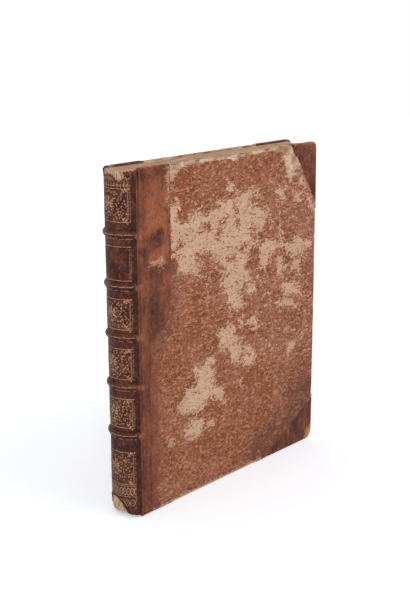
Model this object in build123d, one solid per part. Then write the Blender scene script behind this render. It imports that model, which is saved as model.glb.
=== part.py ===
from build123d import *
import os
from math import asin, cos, degrees, radians, sin, sqrt, tan

# A half-leather quarto, standing on its tail, +Z up. The spine points to -X, the front
# cover faces -Y. Sizes are in millimetres. While the pieces are drawn, X = 0 is the joint
# line between spine and covers, and Y = 0 is the middle of the text block.

# Driving sizes
height = 290.0             # tail to head over the leather turned round the boards
cover_width = 234.0        # joint line to the fore-edge, over the leather corners
block_thick = 23.0         # the sewn leaves between the flyleaves
board_thick = 3.0
leather = 0.7
side_sheet = 0.25          # the mottled paper on the sides
paste_sheet = 0.25         # the pastedown
flyleaf = 0.3
cover_gap = 0.3            # closed cover to flyleaf
glue = 0.1                 # between pieces glued over a curve, and round the cords
joint_gap = 0.5            # the slit left between spine leather and cover leather

# Spine
back_round = 11.0          # the back stands this far out behind its two ridges
ridge_set = 4.0            # from the joint line back to the ridge of the shoulder
shoulder_gap = 0.5         # from the joint line back to the face of the shoulder
gatherings = 22
fold_swell = 0.3           # how far each gathering's fold stands out of the back
cord_count = 5
tail_panel = 72.4          # tail edge to the lowest cord
head_panel = 51.2          # head edge to the highest cord
cord_radius = 2.0
cord_overrun = 1.5         # a cord's flat end starts this far behind the ridge
band_fade = 7.0            # degrees at which the bands slope off towards the joints

# Text block
head_square = 1.8          # the leaves end this far below the boards' head
tail_square = 4.0
fore_square = 5.0
fore_hollow = 5.0          # depth of the hollow fore-edge

# Boards and their covering
fore_bow = 1.2             # the fore-edge stands out this far at mid height
head_corner_round = 5.0
tail_corner_round = 8.0
turn_in = 15.0             # leather and paper turned over the edges
strip_width = 35.0         # spine leather carried over each board
lap = 3.0                  # leather hidden under the edge of the paper side
paper_start = 8.0          # where the paper side begins, from the joint line
paste_margin = 4.0         # turn-ins left bare around the pastedown
worn_head = 3.2            # head edge of the boards worn bare of paper
bare_strip = 117.0         # depth below the head where the paper has left the spine strip

# Leather corners: visible legs along the head or tail edge, and along the fore-edge
front_head_legs = (36.0, 60.0)
front_tail_legs = (78.0, 40.0)
back_head_legs = (48.0, 56.0)
back_tail_legs = (58.0, 50.0)

# Slips: the cord ends laced through the boards
slip_thick = 0.9
slip_width = 3.2
slip_outside = 8.0         # from the joint line to the hole
hole_length = 2.4
slip_inside = 12.0         # frayed end pasted down inside
slip_fan = 9.0             # width of the frayed end

# Layers counted outward from the middle of the block
block_side = block_thick / 2
flyleaf_in = block_side + glue
flyleaf_out = flyleaf_in + flyleaf
board_in = flyleaf_out + cover_gap + paste_sheet + leather
board_out = board_in + board_thick
skin_out = board_out + leather
ledge_side = board_out - glue

# Heights of the cords, evenly spaced between the end panels
cord_pitch = (height - tail_panel - head_panel) / (cord_count - 1)
cord_heights = [tail_panel + cord_pitch * n for n in range(cord_count)]

# Board rectangle inside its covering
cover_start = joint_gap / 2
spine_skin_end = -joint_gap / 2
board_end = cover_width - leather
board_tail = leather
board_head = height - leather
reach = 60.0               # margin of the large cutting shapes

# The arc of the back, through both ridges
skin_radius = (skin_out ** 2 + back_round ** 2) / (2 * back_round)
arc_x = skin_radius - back_round - ridge_set
skin_inside = skin_radius - leather
block_radius = skin_inside - glue
skin_angle = degrees(asin(skin_out / skin_radius))
if back_round > skin_radius:
    skin_angle = 180 - skin_angle
block_tail = tail_square
block_head = height - head_square

# Footprint, so that the finished part stands centred on its origin
x_back = arc_x - skin_radius - cord_radius
x_front = max(cover_width, board_end + fore_bow + side_sheet)
x_centre = (x_back + x_front) / 2


def slab(face, inner, outer):
    """A flat layer of the front cover, between two distances from the middle."""
    return extrude(Plane.XZ.offset(inner) * face, outer - inner)


def box_face(x0, x1, z0, z1):
    return Pos((x0 + x1) / 2, (z0 + z1) / 2) * Rectangle(x1 - x0, z1 - z0)


def board_face():
    """Board outline: straight spine edge, bowed fore-edge, two worn round corners."""
    middle = (board_tail + board_head) / 2
    outline = Curve() + [
        Line((cover_start, board_head), (cover_start, board_tail)),
        Line((cover_start, board_tail), (board_end, board_tail)),
        ThreePointArc((board_end, board_tail), (board_end + fore_bow, middle),
                      (board_end, board_head)),
        Line((board_end, board_head), (cover_start, board_head)),
    ]
    face = make_face(outline)
    tail_vertex, head_vertex = face.vertices().group_by(Axis.X)[-1].sort_by(Axis.Y)
    face = fillet(tail_vertex, tail_corner_round)
    head_vertex = face.vertices().group_by(Axis.Y)[-1].sort_by(Axis.X)[-1]
    return fillet(head_vertex, head_corner_round)


def grown(face, amount):
    return offset(face, amount=amount, kind=Kind.INTERSECTION)


def corner_face(legs, at_head, extra=0.0):
    """Triangle over a fore-edge corner, its long side moved inward by extra."""
    along, up = legs
    edge = board_head if at_head else board_tail
    turn = 1 if at_head else -1
    length = sqrt(along ** 2 + up ** 2)
    shift = extra * length / up
    foot = (board_end - along - shift, edge)
    step = (along / length, -turn * up / length)
    first = (foot[0] - reach * step[0], foot[1] - reach * step[1])
    last = (foot[0] + (length + 2 * reach) * step[0], foot[1] + (length + 2 * reach) * step[1])
    far = (board_end + 4 * reach, edge + turn * 4 * reach)
    return make_face(Polyline(first, last, far, close=True))


BOARD = board_face()
WRAPPED = grown(BOARD, leather)
STRIP = box_face(cover_start, strip_width, 0, height)
# Inside area between the turn-ins. There is none along the spine edge.
WINDOW = grown(BOARD, -turn_in) + box_face(-reach, strip_width, board_tail + turn_in,
                                           board_head - turn_in)


def plain_board():
    return slab(BOARD, board_in, board_out)


def slip_holes(z):
    """Groove, hole and recess that take one laced cord end."""
    wide = slip_width / 2 + glue
    groove = box_face(cover_start - glue, slip_outside + hole_length, z - wide, z + wide)
    hole = box_face(slip_outside, slip_outside + hole_length, z - wide, z + wide)
    recess = offset(slip_fan_face(z), amount=glue, kind=Kind.INTERSECTION)
    return (slab(groove, board_out - slip_thick - 2 * glue, board_out)
            + slab(hole, board_in, board_out)
            + slab(recess, board_in, board_in + slip_thick))


def slip_fan_face(z):
    """The frayed inside end of a slip, spread like a fan."""
    narrow = slip_width / 2
    wide = slip_fan / 2
    start = slip_outside + glue
    end = slip_outside + hole_length + slip_inside
    outline = Curve() + [
        Line((start, z - narrow), (start, z + narrow)),
        Line((start, z + narrow), (end, z + wide)),
        ThreePointArc((end, z + wide), (end + narrow, z), (end, z - wide)),
        Line((end, z - wide), (start, z - narrow)),
    ]
    return make_face(outline)


def slip(z):
    """Cord end: along the groove, through the board, and fanned out inside."""
    narrow = slip_width / 2
    outside = box_face(cover_start, slip_outside + hole_length - glue, z - narrow, z + narrow)
    through = box_face(slip_outside + glue, slip_outside + hole_length - glue,
                       z - narrow, z + narrow)
    return (slab(outside, board_out - glue - slip_thick, board_out - glue)
            + slab(through, board_in, board_out - glue)
            + slab(slip_fan_face(z), board_in, board_in + slip_thick - glue))


def board():
    body = plain_board()
    for z in cord_heights:
        body -= slip_holes(z)
    return body


def wrapped_leather(face):
    """Leather over part of a board: outside, round the edges, and turned in."""
    return (slab(face, board_in - leather, board_out + leather)
            - plain_board()
            - slab(WINDOW, board_in - leather, board_in))


def leather_side():
    return wrapped_leather(STRIP)


def leather_corner(legs, at_head):
    return wrapped_leather(WRAPPED & corner_face(legs, at_head, lap))


def leather_zone(head_legs, tail_legs):
    """Where leather lies between a board and its paper side."""
    return (STRIP + (WRAPPED & corner_face(head_legs, True, lap))
            + (WRAPPED & corner_face(tail_legs, False, lap)))


def below_head(*points):
    """Points of an outline on the cover: distance from the joint line, depth below the head."""
    return [(x, board_head - depth) for x, depth in points]


def front_wear():
    """Rubbed-through patches of the front paper side, with ragged outlines."""
    rubbed = [
        # the great patch across the upper half
        ((30, 37), (46, 31), (58, 43), (72, 47), (88, 47), (107, 36), (120, 37), (132, 32),
         (147, 33), (138, 47), (160, 58), (152, 72), (140, 79), (129, 96), (128, 113),
         (121, 131), (111, 132), (97, 110), (99, 92), (84, 78), (68, 82), (58, 90), (44, 77),
         (30, 65)),
        # the slanting one below it
        ((98, 153), (108, 147), (128, 165), (139, 173), (145, 187), (131, 185), (112, 180),
         (103, 168)),
        # the two near the spine
        ((88, 171), (76, 172), (64, 178), (64, 188), (43, 206), (60, 216), (86, 205), (85, 182)),
        ((66, 222), (72, 233), (57, 236), (49, 231), (58, 224)),
        # the two towards the fore-edge
        ((151, 83), (163, 84), (185, 89), (207, 84), (214, 95), (196, 99), (176, 93), (162, 93),
         (156, 104), (150, 96)),
        ((183, 129), (195, 124), (210, 132), (203, 139), (189, 137)),
    ]
    return Sketch() + [make_face(Polyline(below_head(*points), close=True)) for points in rubbed]


def above_line(edge):
    """Everything above an open edge drawn from left to right."""
    left = edge @ 0
    right = edge @ 1
    top = height + reach
    rest = Polyline((right.X, right.Y), (right.X, top), (left.X, top), (left.X, left.Y))
    return make_face(Curve() + [edge, rest])


def front_bare_strip():
    """Upper part of the spine strip where the paper is gone and the leather shows."""
    step = bare_strip / 4
    edge = strip_width
    rubbed = Spline((paper_start, board_head - bare_strip), (edge - lap, board_head - 3 * step),
                    (edge, board_head - 2 * step))
    side = Polyline((edge, board_head - 2 * step), (edge, height), (-reach, height),
                    (-reach, board_head - bare_strip), (paper_start, board_head - bare_strip))
    return make_face(Curve() + [rubbed, side])


def front_head_edge():
    """The ragged line where the front paper ends below the head edge."""
    ragged = Polyline(below_head((-reach, worn_head), (24, worn_head), (33, 8), (44, 6),
                                 (56, worn_head), (80, 2), (110, worn_head), (114, 6),
                                 (121, worn_head), (140, 2.5), (168, 2), (184, 5), (188, 18),
                                 (193, 28), (199, 19), (209, 9), (cover_width + reach, 6)))
    return above_line(ragged)


def back_head_edge():
    line = board_head - worn_head / 2
    return box_face(-reach, cover_width + reach, line, height + reach)


def paper_face(head_legs, tail_legs, losses):
    """Outline of a paper side: clear of the visible corners, the joint and its losses."""
    face = WRAPPED - box_face(-reach, paper_start, -reach, height + reach)
    face -= corner_face(head_legs, True)
    face -= corner_face(tail_legs, False)
    for loss in losses:
        face -= loss
    return face


def paper_side(head_legs, tail_legs, losses, leathers):
    """Thin sheet on the board, stepping up over leather, turned in at tail and fore-edge."""
    face = paper_face(head_legs, tail_legs, losses)
    inside = WINDOW + box_face(-reach, cover_width + reach, board_head - turn_in - lap,
                               height + reach)
    raised = grown(leather_zone(head_legs, tail_legs), side_sheet)
    sheet = slab(face & grown(BOARD, side_sheet), board_in - side_sheet,
                 board_out + side_sheet)
    sheet -= slab(inside, board_in - side_sheet, board_in)
    sheet += slab(face & raised & WRAPPED, board_out, board_out + leather + side_sheet)
    sheet -= plain_board()
    for skin in leathers:
        sheet -= skin
    return sheet


def pastedown(head_legs, tail_legs, covers):
    """Sheet inside the cover, stepping over the leather and paper turn-ins below it."""
    face = box_face(cover_start + joint_gap, board_end - paste_margin,
                    board_tail + paste_margin, board_head - paste_margin)
    turned = BOARD - WINDOW
    skin = grown(turned & leather_zone(head_legs, tail_legs), paste_sheet)
    folded = grown(turned, paste_sheet)
    sheet = slab(face, board_in - paste_sheet, board_in)
    sheet += slab(face & folded, board_in - side_sheet - paste_sheet, board_in)
    sheet += slab(face & skin, board_in - leather - paste_sheet, board_in)
    for cover in covers:
        sheet -= cover
    return sheet


def revolved_back(profile):
    """Turn a radius-height profile about the axis of the back, open towards +X."""
    turned = revolve(Plane.XZ * profile, Axis.Z, 2 * skin_angle)
    return Pos(arc_x, 0, 0) * Rot(0, 0, 180 - skin_angle) * turned


def fade_wedge(inset):
    """Space that the bands may fill: it narrows to the covers' outer planes at the joints."""
    side = skin_out - inset
    slope = tan(radians(band_fade))
    profile = Polyline((0, -side), (0, side), (-reach, side + slope * reach),
                       (-reach, -side - slope * reach), close=True)
    return extrude(make_face(profile), height)


def half_round(radius, z):
    """Section of a cord or a band, in the radius-height plane: half of a six-sided rod."""
    rod = Pos(skin_inside, z) * RegularPolygon(radius, 6, major_radius=False, rotation=30)
    return rod & box_face(skin_inside, skin_inside + reach, 0, height)


def cord(z, room=0.0):
    """One raised cord: a half round over the back, with a flat end over each shoulder."""
    body = revolved_back(half_round(cord_radius + room, z))
    body = body & fade_wedge(leather + glue - room)
    x0 = -ridge_set - cord_overrun - room
    wide = slip_width + 2 * room
    thick = slip_thick + 2 * room
    for side in (-1, 1):
        middle = side * (ledge_side - slip_thick / 2)
        plan = Pos((x0 + spine_skin_end) / 2, middle) * Rectangle(spine_skin_end - x0, thick)
        body += Pos(0, 0, z - wide / 2) * extrude(plan, wide)
    return body


def behind_spine(edge, far):
    """Solid on one side of an edge that is drawn across the spine, as seen from behind."""
    left = edge @ 0
    right = edge @ 1
    rest = Polyline((right.X, right.Y), (right.X, far), (left.X, far), (left.X, left.Y))
    outline = make_face(Curve() + [edge, rest])
    return extrude(Plane.YZ.offset(-reach) * outline, reach)


def head_loss():
    """Torn head of the spine leather. Shares of the half thickness, depths below the head."""
    points = ((-1.06, 0.8), (-0.8, 2.2), (-0.71, 3.6), (-0.58, 7.2), (-0.45, 8.8), (-0.31, 8.4),
              (-0.2, 5.6), (0, 4.2), (0.36, 4.8), (0.65, 4.2), (1.06, 1.2))
    torn = Polyline([(share * skin_out, height - depth) for share, depth in points])
    return behind_spine(torn, height + reach)


def tail_loss():
    """Torn tail: a tear that slants down to the front joint. Shares and heights."""
    points = ((-1.06, 0.8), (-0.8, 2.4), (-0.57, 3.2), (-0.48, 5.6), (-0.43, 8.5), (-0.3, 9.6),
              (0, 12.2), (0.3, 14.4), (0.53, 13.2), (0.8, 5.0), (1.06, 1.2))
    torn = Polyline([(share * skin_out, rise) for share, rise in points])
    return behind_spine(torn, -reach)


def spine_leather():
    """Tight back with its raised bands, the two joint flanges, and the torn ends."""
    shell = box_face(skin_inside, skin_radius, 0, height)
    for z in cord_heights:
        shell += half_round(cord_radius + leather, z)
    skin = revolved_back(shell) & fade_wedge(0)
    for side in (-1, 1):
        middle = side * (board_out + skin_out) / 2
        flange = Pos((spine_skin_end - ridge_set) / 2, middle) * Rectangle(
            spine_skin_end + ridge_set, leather)
        skin += extrude(flange, height)
    for z in cord_heights:
        skin -= cord(z, glue)
    return skin - head_loss() - tail_loss()


def folded_back():
    """Back of the block: one small swelling for each gathering's fold."""
    valley = block_radius - fold_swell
    half = degrees(asin(ledge_side / block_radius))
    edges = []
    for n in range(gatherings):
        angles = [radians(half - 2 * half * (n + part) / gatherings) for part in (0, 0.5, 1)]
        points = []
        for angle, radius in zip(angles, (valley, block_radius, valley)):
            points.append((arc_x - radius * cos(angle), radius * sin(angle)))
        edges.append(ThreePointArc(*points))
    return edges


def text_block():
    """All leaves as one solid: folded back, shoulders, and a hollow fore-edge."""
    edges = folded_back()
    top = edges[0] @ 0
    bottom = edges[-1] @ 1
    leaf_end = board_end - fore_square
    lines = [
        Polyline((bottom.X, bottom.Y), (-shoulder_gap, bottom.Y), (-shoulder_gap, -block_side),
                 (leaf_end, -block_side)),
        ThreePointArc((leaf_end, -block_side), (leaf_end - fore_hollow, 0),
                      (leaf_end, block_side)),
        Polyline((leaf_end, block_side), (-shoulder_gap, block_side), (-shoulder_gap, top.Y),
                 (top.X, top.Y)),
    ]
    plan = make_face(Curve() + edges + lines)
    block = Pos(0, 0, block_tail) * extrude(plan, block_head - block_tail)
    for z in cord_heights:
        block -= cord(z, glue)
    return block


def free_leaf():
    """Front flyleaf, lying on the first page."""
    return slab(box_face(-shoulder_gap, board_end - fore_square, block_tail, block_head),
                flyleaf_in, flyleaf_out)


def cover(side, head_legs, tail_legs, losses):
    """All pieces of one cover, drawn as the front one."""
    strip = leather_side()
    head_corner = leather_corner(head_legs, True)
    tail_corner = leather_corner(tail_legs, False)
    leathers = [strip, head_corner, tail_corner]
    sheet = paper_side(head_legs, tail_legs, losses, leathers)
    pieces = {
        f"{side}_board": board(),
        f"{side}_leather_side": strip,
        f"{side}_head_corner": head_corner,
        f"{side}_tail_corner": tail_corner,
        f"{side}_paper_side": sheet,
        f"{side}_pastedown": pastedown(head_legs, tail_legs, leathers + [sheet]),
    }
    for number, z in enumerate(cord_heights, start=1):
        pieces[f"{side}_slip_{number}"] = slip(z)
    return pieces


def book():
    """Every piece by name, still drawn about the joint line."""
    front_losses = [front_wear(), front_bare_strip(), front_head_edge()]
    pieces = {
        "text_block": text_block(),
        "front_flyleaf": free_leaf(),
        "back_flyleaf": mirror(free_leaf(), about=Plane.XZ),
        "spine_leather": spine_leather(),
    }
    for number, z in enumerate(cord_heights, start=1):
        pieces[f"cord_{number}"] = cord(z)
    pieces.update(cover("front", front_head_legs, front_tail_legs, front_losses))
    for name, piece in cover("back", back_head_legs, back_tail_legs,
                             [back_head_edge()]).items():
        pieces[name] = mirror(piece, about=Plane.XZ)
    return pieces


os.makedirs("parts", exist_ok=True)
for name, piece in book().items():
    export_step(Pos(-x_centre, 0, 0) * piece, f"parts/{name}.step")
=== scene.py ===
"""Looks of an antique half-leather atlas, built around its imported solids."""

import math
import random

import bmesh
import bpy
import numpy as np
from mathutils import Matrix, Vector, noise


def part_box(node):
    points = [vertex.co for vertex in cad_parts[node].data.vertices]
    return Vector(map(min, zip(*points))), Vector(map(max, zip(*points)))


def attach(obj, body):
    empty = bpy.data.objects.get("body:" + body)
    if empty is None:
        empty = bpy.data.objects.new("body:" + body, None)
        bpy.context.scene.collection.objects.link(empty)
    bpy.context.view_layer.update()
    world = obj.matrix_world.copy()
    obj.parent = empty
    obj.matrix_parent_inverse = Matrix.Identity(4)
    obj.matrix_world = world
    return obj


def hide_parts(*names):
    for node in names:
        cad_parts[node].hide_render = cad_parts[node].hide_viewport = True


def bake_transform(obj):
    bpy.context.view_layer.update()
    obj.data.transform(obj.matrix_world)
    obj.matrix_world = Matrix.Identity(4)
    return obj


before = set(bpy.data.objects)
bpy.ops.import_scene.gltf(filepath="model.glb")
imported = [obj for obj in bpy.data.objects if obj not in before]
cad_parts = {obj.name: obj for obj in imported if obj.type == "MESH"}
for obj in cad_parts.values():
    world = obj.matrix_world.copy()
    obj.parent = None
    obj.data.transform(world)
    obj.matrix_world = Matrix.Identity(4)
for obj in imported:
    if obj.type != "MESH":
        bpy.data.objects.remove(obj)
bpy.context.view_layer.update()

MM = 0.001


# Sizes read from the frame. In this script a place is in millimetres, and X = 0 is the
# joint line between the spine and the covers, as on the drawing of the solids.

COVER_START = 0.25         # the boards begin this far from the joint line
JOINT_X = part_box("front_board")[0].x / MM - COVER_START


def node_box(node):
    """Lowest and highest corner of a solid, in this script's millimetres."""
    return [corner / MM - Vector((JOINT_X, 0, 0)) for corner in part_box(node)]


BOARD_LOW, BOARD_HIGH = node_box("front_board")
SIDE_LOW, SIDE_HIGH = node_box("front_leather_side")
BLOCK_LOW, BLOCK_HIGH = node_box("text_block")

BOARD_OUT = -BOARD_LOW.y
BOARD_IN = -BOARD_HIGH.y
BOARD_TAIL = BOARD_LOW.z
BOARD_HEAD = BOARD_HIGH.z
SKIN_OUT = -SIDE_LOW.y
TAIL = SIDE_LOW.z
HEAD = SIDE_HIGH.z

LEATHER = SKIN_OUT - BOARD_OUT
FORE_BOW = 1.2
BOARD_END = BOARD_HIGH.x - FORE_BOW
HEAD_ROUND = 5.0
TAIL_ROUND = 8.0
TURN_IN = 15.0
EDGE_RADIUS = 1.1          # of the leather where it goes round a board's edge
STRIP_WIDTH = SIDE_HIGH.x
LAP = 3.0
SHEET = 0.25
WHOLE = -9.0               # in the flake attribute, for leather that covers its board

# The arc of the spine through both ridges
RIDGE_X = -4.0
BACK_ROUND = 11.0
SKIN_RADIUS = (SKIN_OUT ** 2 + BACK_ROUND ** 2) / (2 * BACK_ROUND)
ARC_X = SKIN_RADIUS - BACK_ROUND + RIDGE_X
RIDGE_ANGLE = math.degrees(math.asin(SKIN_OUT / SKIN_RADIUS))
BLOCK_RADIUS = SKIN_RADIUS - LEATHER - 0.1
BANDS = [72.4, 114.0, 155.6, 197.2, 238.8]
BAND_HEIGHT = 1.9
BAND_HALF = 2.9
SKIN_WIDEST = SKIN_OUT + 0.72      # the bands stand out this far beside the joints

FRONT = -1
BACK = 1
SIDE_NAMES = {FRONT: "front", BACK: "back"}
STRIP_SEEDS = {FRONT: 2.0, BACK: 6.0}


# Small helpers for fields of numbers

def smooth(low, high, value):
    """0 below low, 1 above high, and a smooth step between."""
    t = np.clip((np.asarray(value, float) - low) / (high - low), 0, 1)
    return t * t * (3 - 2 * t)


def hump(value, middle, width):
    """1 at the middle, falling away to both sides."""
    return np.exp(-((value - middle) / width) ** 2)


def stacked(*fields):
    """Fields of numbers side by side, as an array of points."""
    return np.stack(np.broadcast_arrays(*fields), -1)


def clouds(points, size, octaves=3, seed=0.0):
    """Fractal noise at an array of points, about -1 to 1. Size is the width of its blobs."""
    flat = points.reshape(-1, 3) / size + seed
    values = [noise.fractal(p, 0.9, 2.0, octaves) for p in flat.tolist()]
    return np.array(values).reshape(points.shape[:-1])


def wander(values, size, seed):
    """Fractal noise along one line of numbers."""
    return clouds(stacked(values, seed, 0.0), size, 4)


def inside_distance(x, z, outline):
    """Signed distance to a closed outline, positive inside."""
    corners = np.array(outline, float)
    best = np.full(x.shape, 1e9)
    crossings = np.zeros(x.shape, bool)
    for (ax, az), (bx, bz) in zip(corners, np.roll(corners, -1, 0)):
        dx, dz = bx - ax, bz - az
        t = np.clip(((x - ax) * dx + (z - az) * dz) / (dx * dx + dz * dz), 0, 1)
        best = np.minimum(best, np.hypot(x - ax - t * dx, z - az - t * dz))
        if az != bz:
            spans = (az > z) != (bz > z)
            crossings ^= spans & (x < ax + (z - az) * dx / dz)
    return np.where(crossings, best, -best)


def union_distance(x, z, outlines):
    return np.max([inside_distance(x, z, outline) for outline in outlines], 0)


def band_distance(z, shift=0.0):
    """Height from the nearest band's middle, or from a line that lies below it by the shift."""
    return np.min([np.abs(z - middle + shift) for middle in BANDS], 0)


# Mesh builders

def new_object(name, vertices, faces, attributes, crease=50.0):
    """An object from points in millimetres, with its rest place kept as an attribute."""
    mesh = bpy.data.meshes.new(name)
    mesh.from_pydata(((vertices + (JOINT_X, 0, 0)) * MM).tolist(), [], faces)
    mesh.update()
    obj = bpy.data.objects.new(name, mesh)
    bpy.context.scene.collection.objects.link(obj)
    work = bmesh.new()
    work.from_mesh(mesh)
    bmesh.ops.recalc_face_normals(work, faces=work.faces)
    work.to_mesh(mesh)
    work.free()
    rest = mesh.attributes.new("rest", "FLOAT_VECTOR", "POINT")
    rest.data.foreach_set("vector", vertices.astype(np.float32).ravel())
    for key, values in attributes.items():
        layer = mesh.attributes.new(key, "FLOAT", "POINT")
        layer.data.foreach_set("value", values.astype(np.float32))
    mesh.polygons.foreach_set("use_smooth", np.ones(len(mesh.polygons), bool))
    mesh.set_sharp_from_angle(angle=math.radians(crease))
    return obj


def shell_parts(outer, inner, keep=None, **attributes):
    """Points, faces and attributes of a closed sheet between two equal grids of points."""
    rows, cols = outer.shape[:2]
    if keep is None:
        keep = np.ones((rows - 1, cols - 1), bool)
    index = np.arange(rows * cols).reshape(rows, cols)
    below = index + rows * cols
    padded = np.pad(keep, 1)
    faces = []
    for r, c in np.argwhere(keep).tolist():
        ring = [(r, c), (r, c + 1), (r + 1, c + 1), (r + 1, c)]
        faces.append([index[p] for p in ring])
        faces.append([below[p] for p in ring[:1] + ring[:0:-1]])
        beside = (padded[r, c + 1], padded[r + 1, c + 2], padded[r + 2, c + 1], padded[r + 1, c])
        for first, last, neighbour in zip(ring, ring[1:] + ring[:1], beside):
            if not neighbour:
                faces.append([index[first], below[first], below[last], index[last]])
    used, numbers = np.unique(np.array(faces), return_inverse=True)
    points = np.concatenate([outer.reshape(-1, 3), inner.reshape(-1, 3)])[used]
    layers = {key: np.tile(np.broadcast_to(values, (rows, cols)).ravel(), 2)[used]
              for key, values in attributes.items()}
    return points, numbers.reshape(-1, 4).tolist(), layers


def joined(parts):
    """Several sets of points, faces and attributes as one."""
    faces = []
    start = 0
    for points, part_faces, _ in parts:
        faces.extend([v + start for v in face] for face in part_faces)
        start += len(points)
    layers = {key: np.concatenate([part[2][key] for part in parts]) for key in parts[0][2]}
    return np.concatenate([part[0] for part in parts]), faces, layers


def dress(piece, finish, replaced=None):
    """Gives a piece its material and hides the solid that it stands in for."""
    if replaced:
        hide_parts(replaced)
    piece.data.materials.append(finish)


def across_joint(piece, side):
    """Bakes the place of a piece that lies across a joint, from the block to its cover, into its mesh.
    """
    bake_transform(piece)


# Materials

def srgb(red, green, blue):
    """Screen values from 0 to 255, as the linear colour that a shader takes."""
    shares = [value / 255 for value in (red, green, blue)]
    return (*(s / 12.92 if s <= 0.04045 else ((s + 0.055) / 1.055) ** 2.4 for s in shares), 1.0)


class Graph:
    """The node tree of a material or of the surroundings, with short calls for its nodes."""

    def __init__(self, owner):
        owner.use_nodes = True
        self.owner = owner
        self.tree = owner.node_tree

    def fill(self, node, values):
        """Links or sets inputs of a node."""
        for key, value in values.items():
            if isinstance(value, bpy.types.NodeSocket):
                self.tree.links.new(value, node.inputs[key])
            else:
                node.inputs[key].default_value = value

    def node(self, kind, output, inputs=(), **settings):
        """One output of a new node with these inputs and settings."""
        node = self.tree.nodes.new("ShaderNode" + kind)
        for key, setting in settings.items():
            setattr(node, key, setting)
        self.fill(node, dict(inputs))
        return node.outputs[output]

    def math(self, operation, *values):
        return self.node("Math", 0, enumerate(values), operation=operation)

    def step(self, value, low, high, to_low=0.0, to_high=1.0, shape="SMOOTHSTEP"):
        """A value brought from one range to another, by a smooth step unless it is linear."""
        return self.node("MapRange", 0, enumerate((value, low, high, to_low, to_high)),
                         interpolation_type=shape)


class Recipe(Graph):
    """A material under construction. A colour is a socket or three screen values."""

    def __init__(self, name, cad=False):
        super().__init__(bpy.data.materials.new(name))
        if cad:
            self.place = self.scaled(self.node("TexCoord", "Object"), 1 / MM)
        else:
            self.place = self.attribute("rest", "Vector")

    def attribute(self, name, output="Fac"):
        return self.node("Attribute", output, attribute_name=name)

    def vector(self, operation, first, second):
        return self.node("VectorMath", 0, {0: first, 1: second}, operation=operation)

    def scaled(self, vector, factor):
        return self.node("VectorMath", 0, {0: vector, "Scale": factor}, operation="SCALE")

    def axis(self, name):
        return self.node("SeparateXYZ", name, {0: self.place})

    def noise(self, size, detail=4.0, roughness=0.55, distortion=0.0, shift=0.0, stretch=(1, 1, 1),
              output="Fac"):
        """Noise from 0 to 1 whose blobs are about size millimetres wide."""
        moved = self.vector("MULTIPLY", self.place, [1 / s for s in stretch])
        moved = self.vector("ADD", moved, (shift,) * 3)
        return self.node("TexNoise", output, {"Vector": moved, "Scale": 1 / size, "Detail": detail,
                                              "Roughness": roughness, "Distortion": distortion})

    def bend(self, size, amount):
        """The place, pushed about by noise, to bend the lines of another texture."""
        push = self.vector("SUBTRACT", self.noise(size, 3, 0.5, output="Color"), (0.5, 0.5, 0.5))
        return self.vector("ADD", self.place, self.scaled(push, amount))

    def cells(self, size, feature, place):
        """Distances in a pattern of cells about size millimetres wide."""
        return self.node("TexVoronoi", "Distance", {"Scale": 1 / size, "Vector": place},
                         feature=feature)

    def spots(self, threshold, soft, strength, *texture):
        """Strength where a noise is above its threshold."""
        return self.step(self.noise(*texture), threshold, threshold + soft, 0.0, strength)

    def ragged(self, name, texture, amount):
        """A vertex attribute, pushed up and down by half the amount of a noise."""
        centred = self.math("SUBTRACT", texture, 0.5)
        return self.math("MULTIPLY_ADD", centred, amount, self.attribute(name))

    def mix(self, factor, first, second):
        first, second = (srgb(*c) if isinstance(c, tuple) else c for c in (first, second))
        return self.node("Mix", 2, {0: factor, 6: first, 7: second}, data_type="RGBA")

    def coats(self, colour, *coats):
        """A colour under several coats, each given by its strength and its own colour."""
        for strength, tint in coats:
            colour = self.mix(strength, colour, tint)
        return colour

    def finish(self, colour, roughness, height, depth, specular):
        """The material with this colour, roughness and relief. Depth is in millimetres."""
        relief = {"Strength": 1.0, "Distance": depth * MM, "Height": height}
        self.fill(self.tree.nodes["Principled BSDF"],
                  {"Base Color": colour, "Roughness": roughness, "Specular IOR Level": specular,
                   "Normal": self.node("Bump", "Normal", relief)})
        return self.owner


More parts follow.
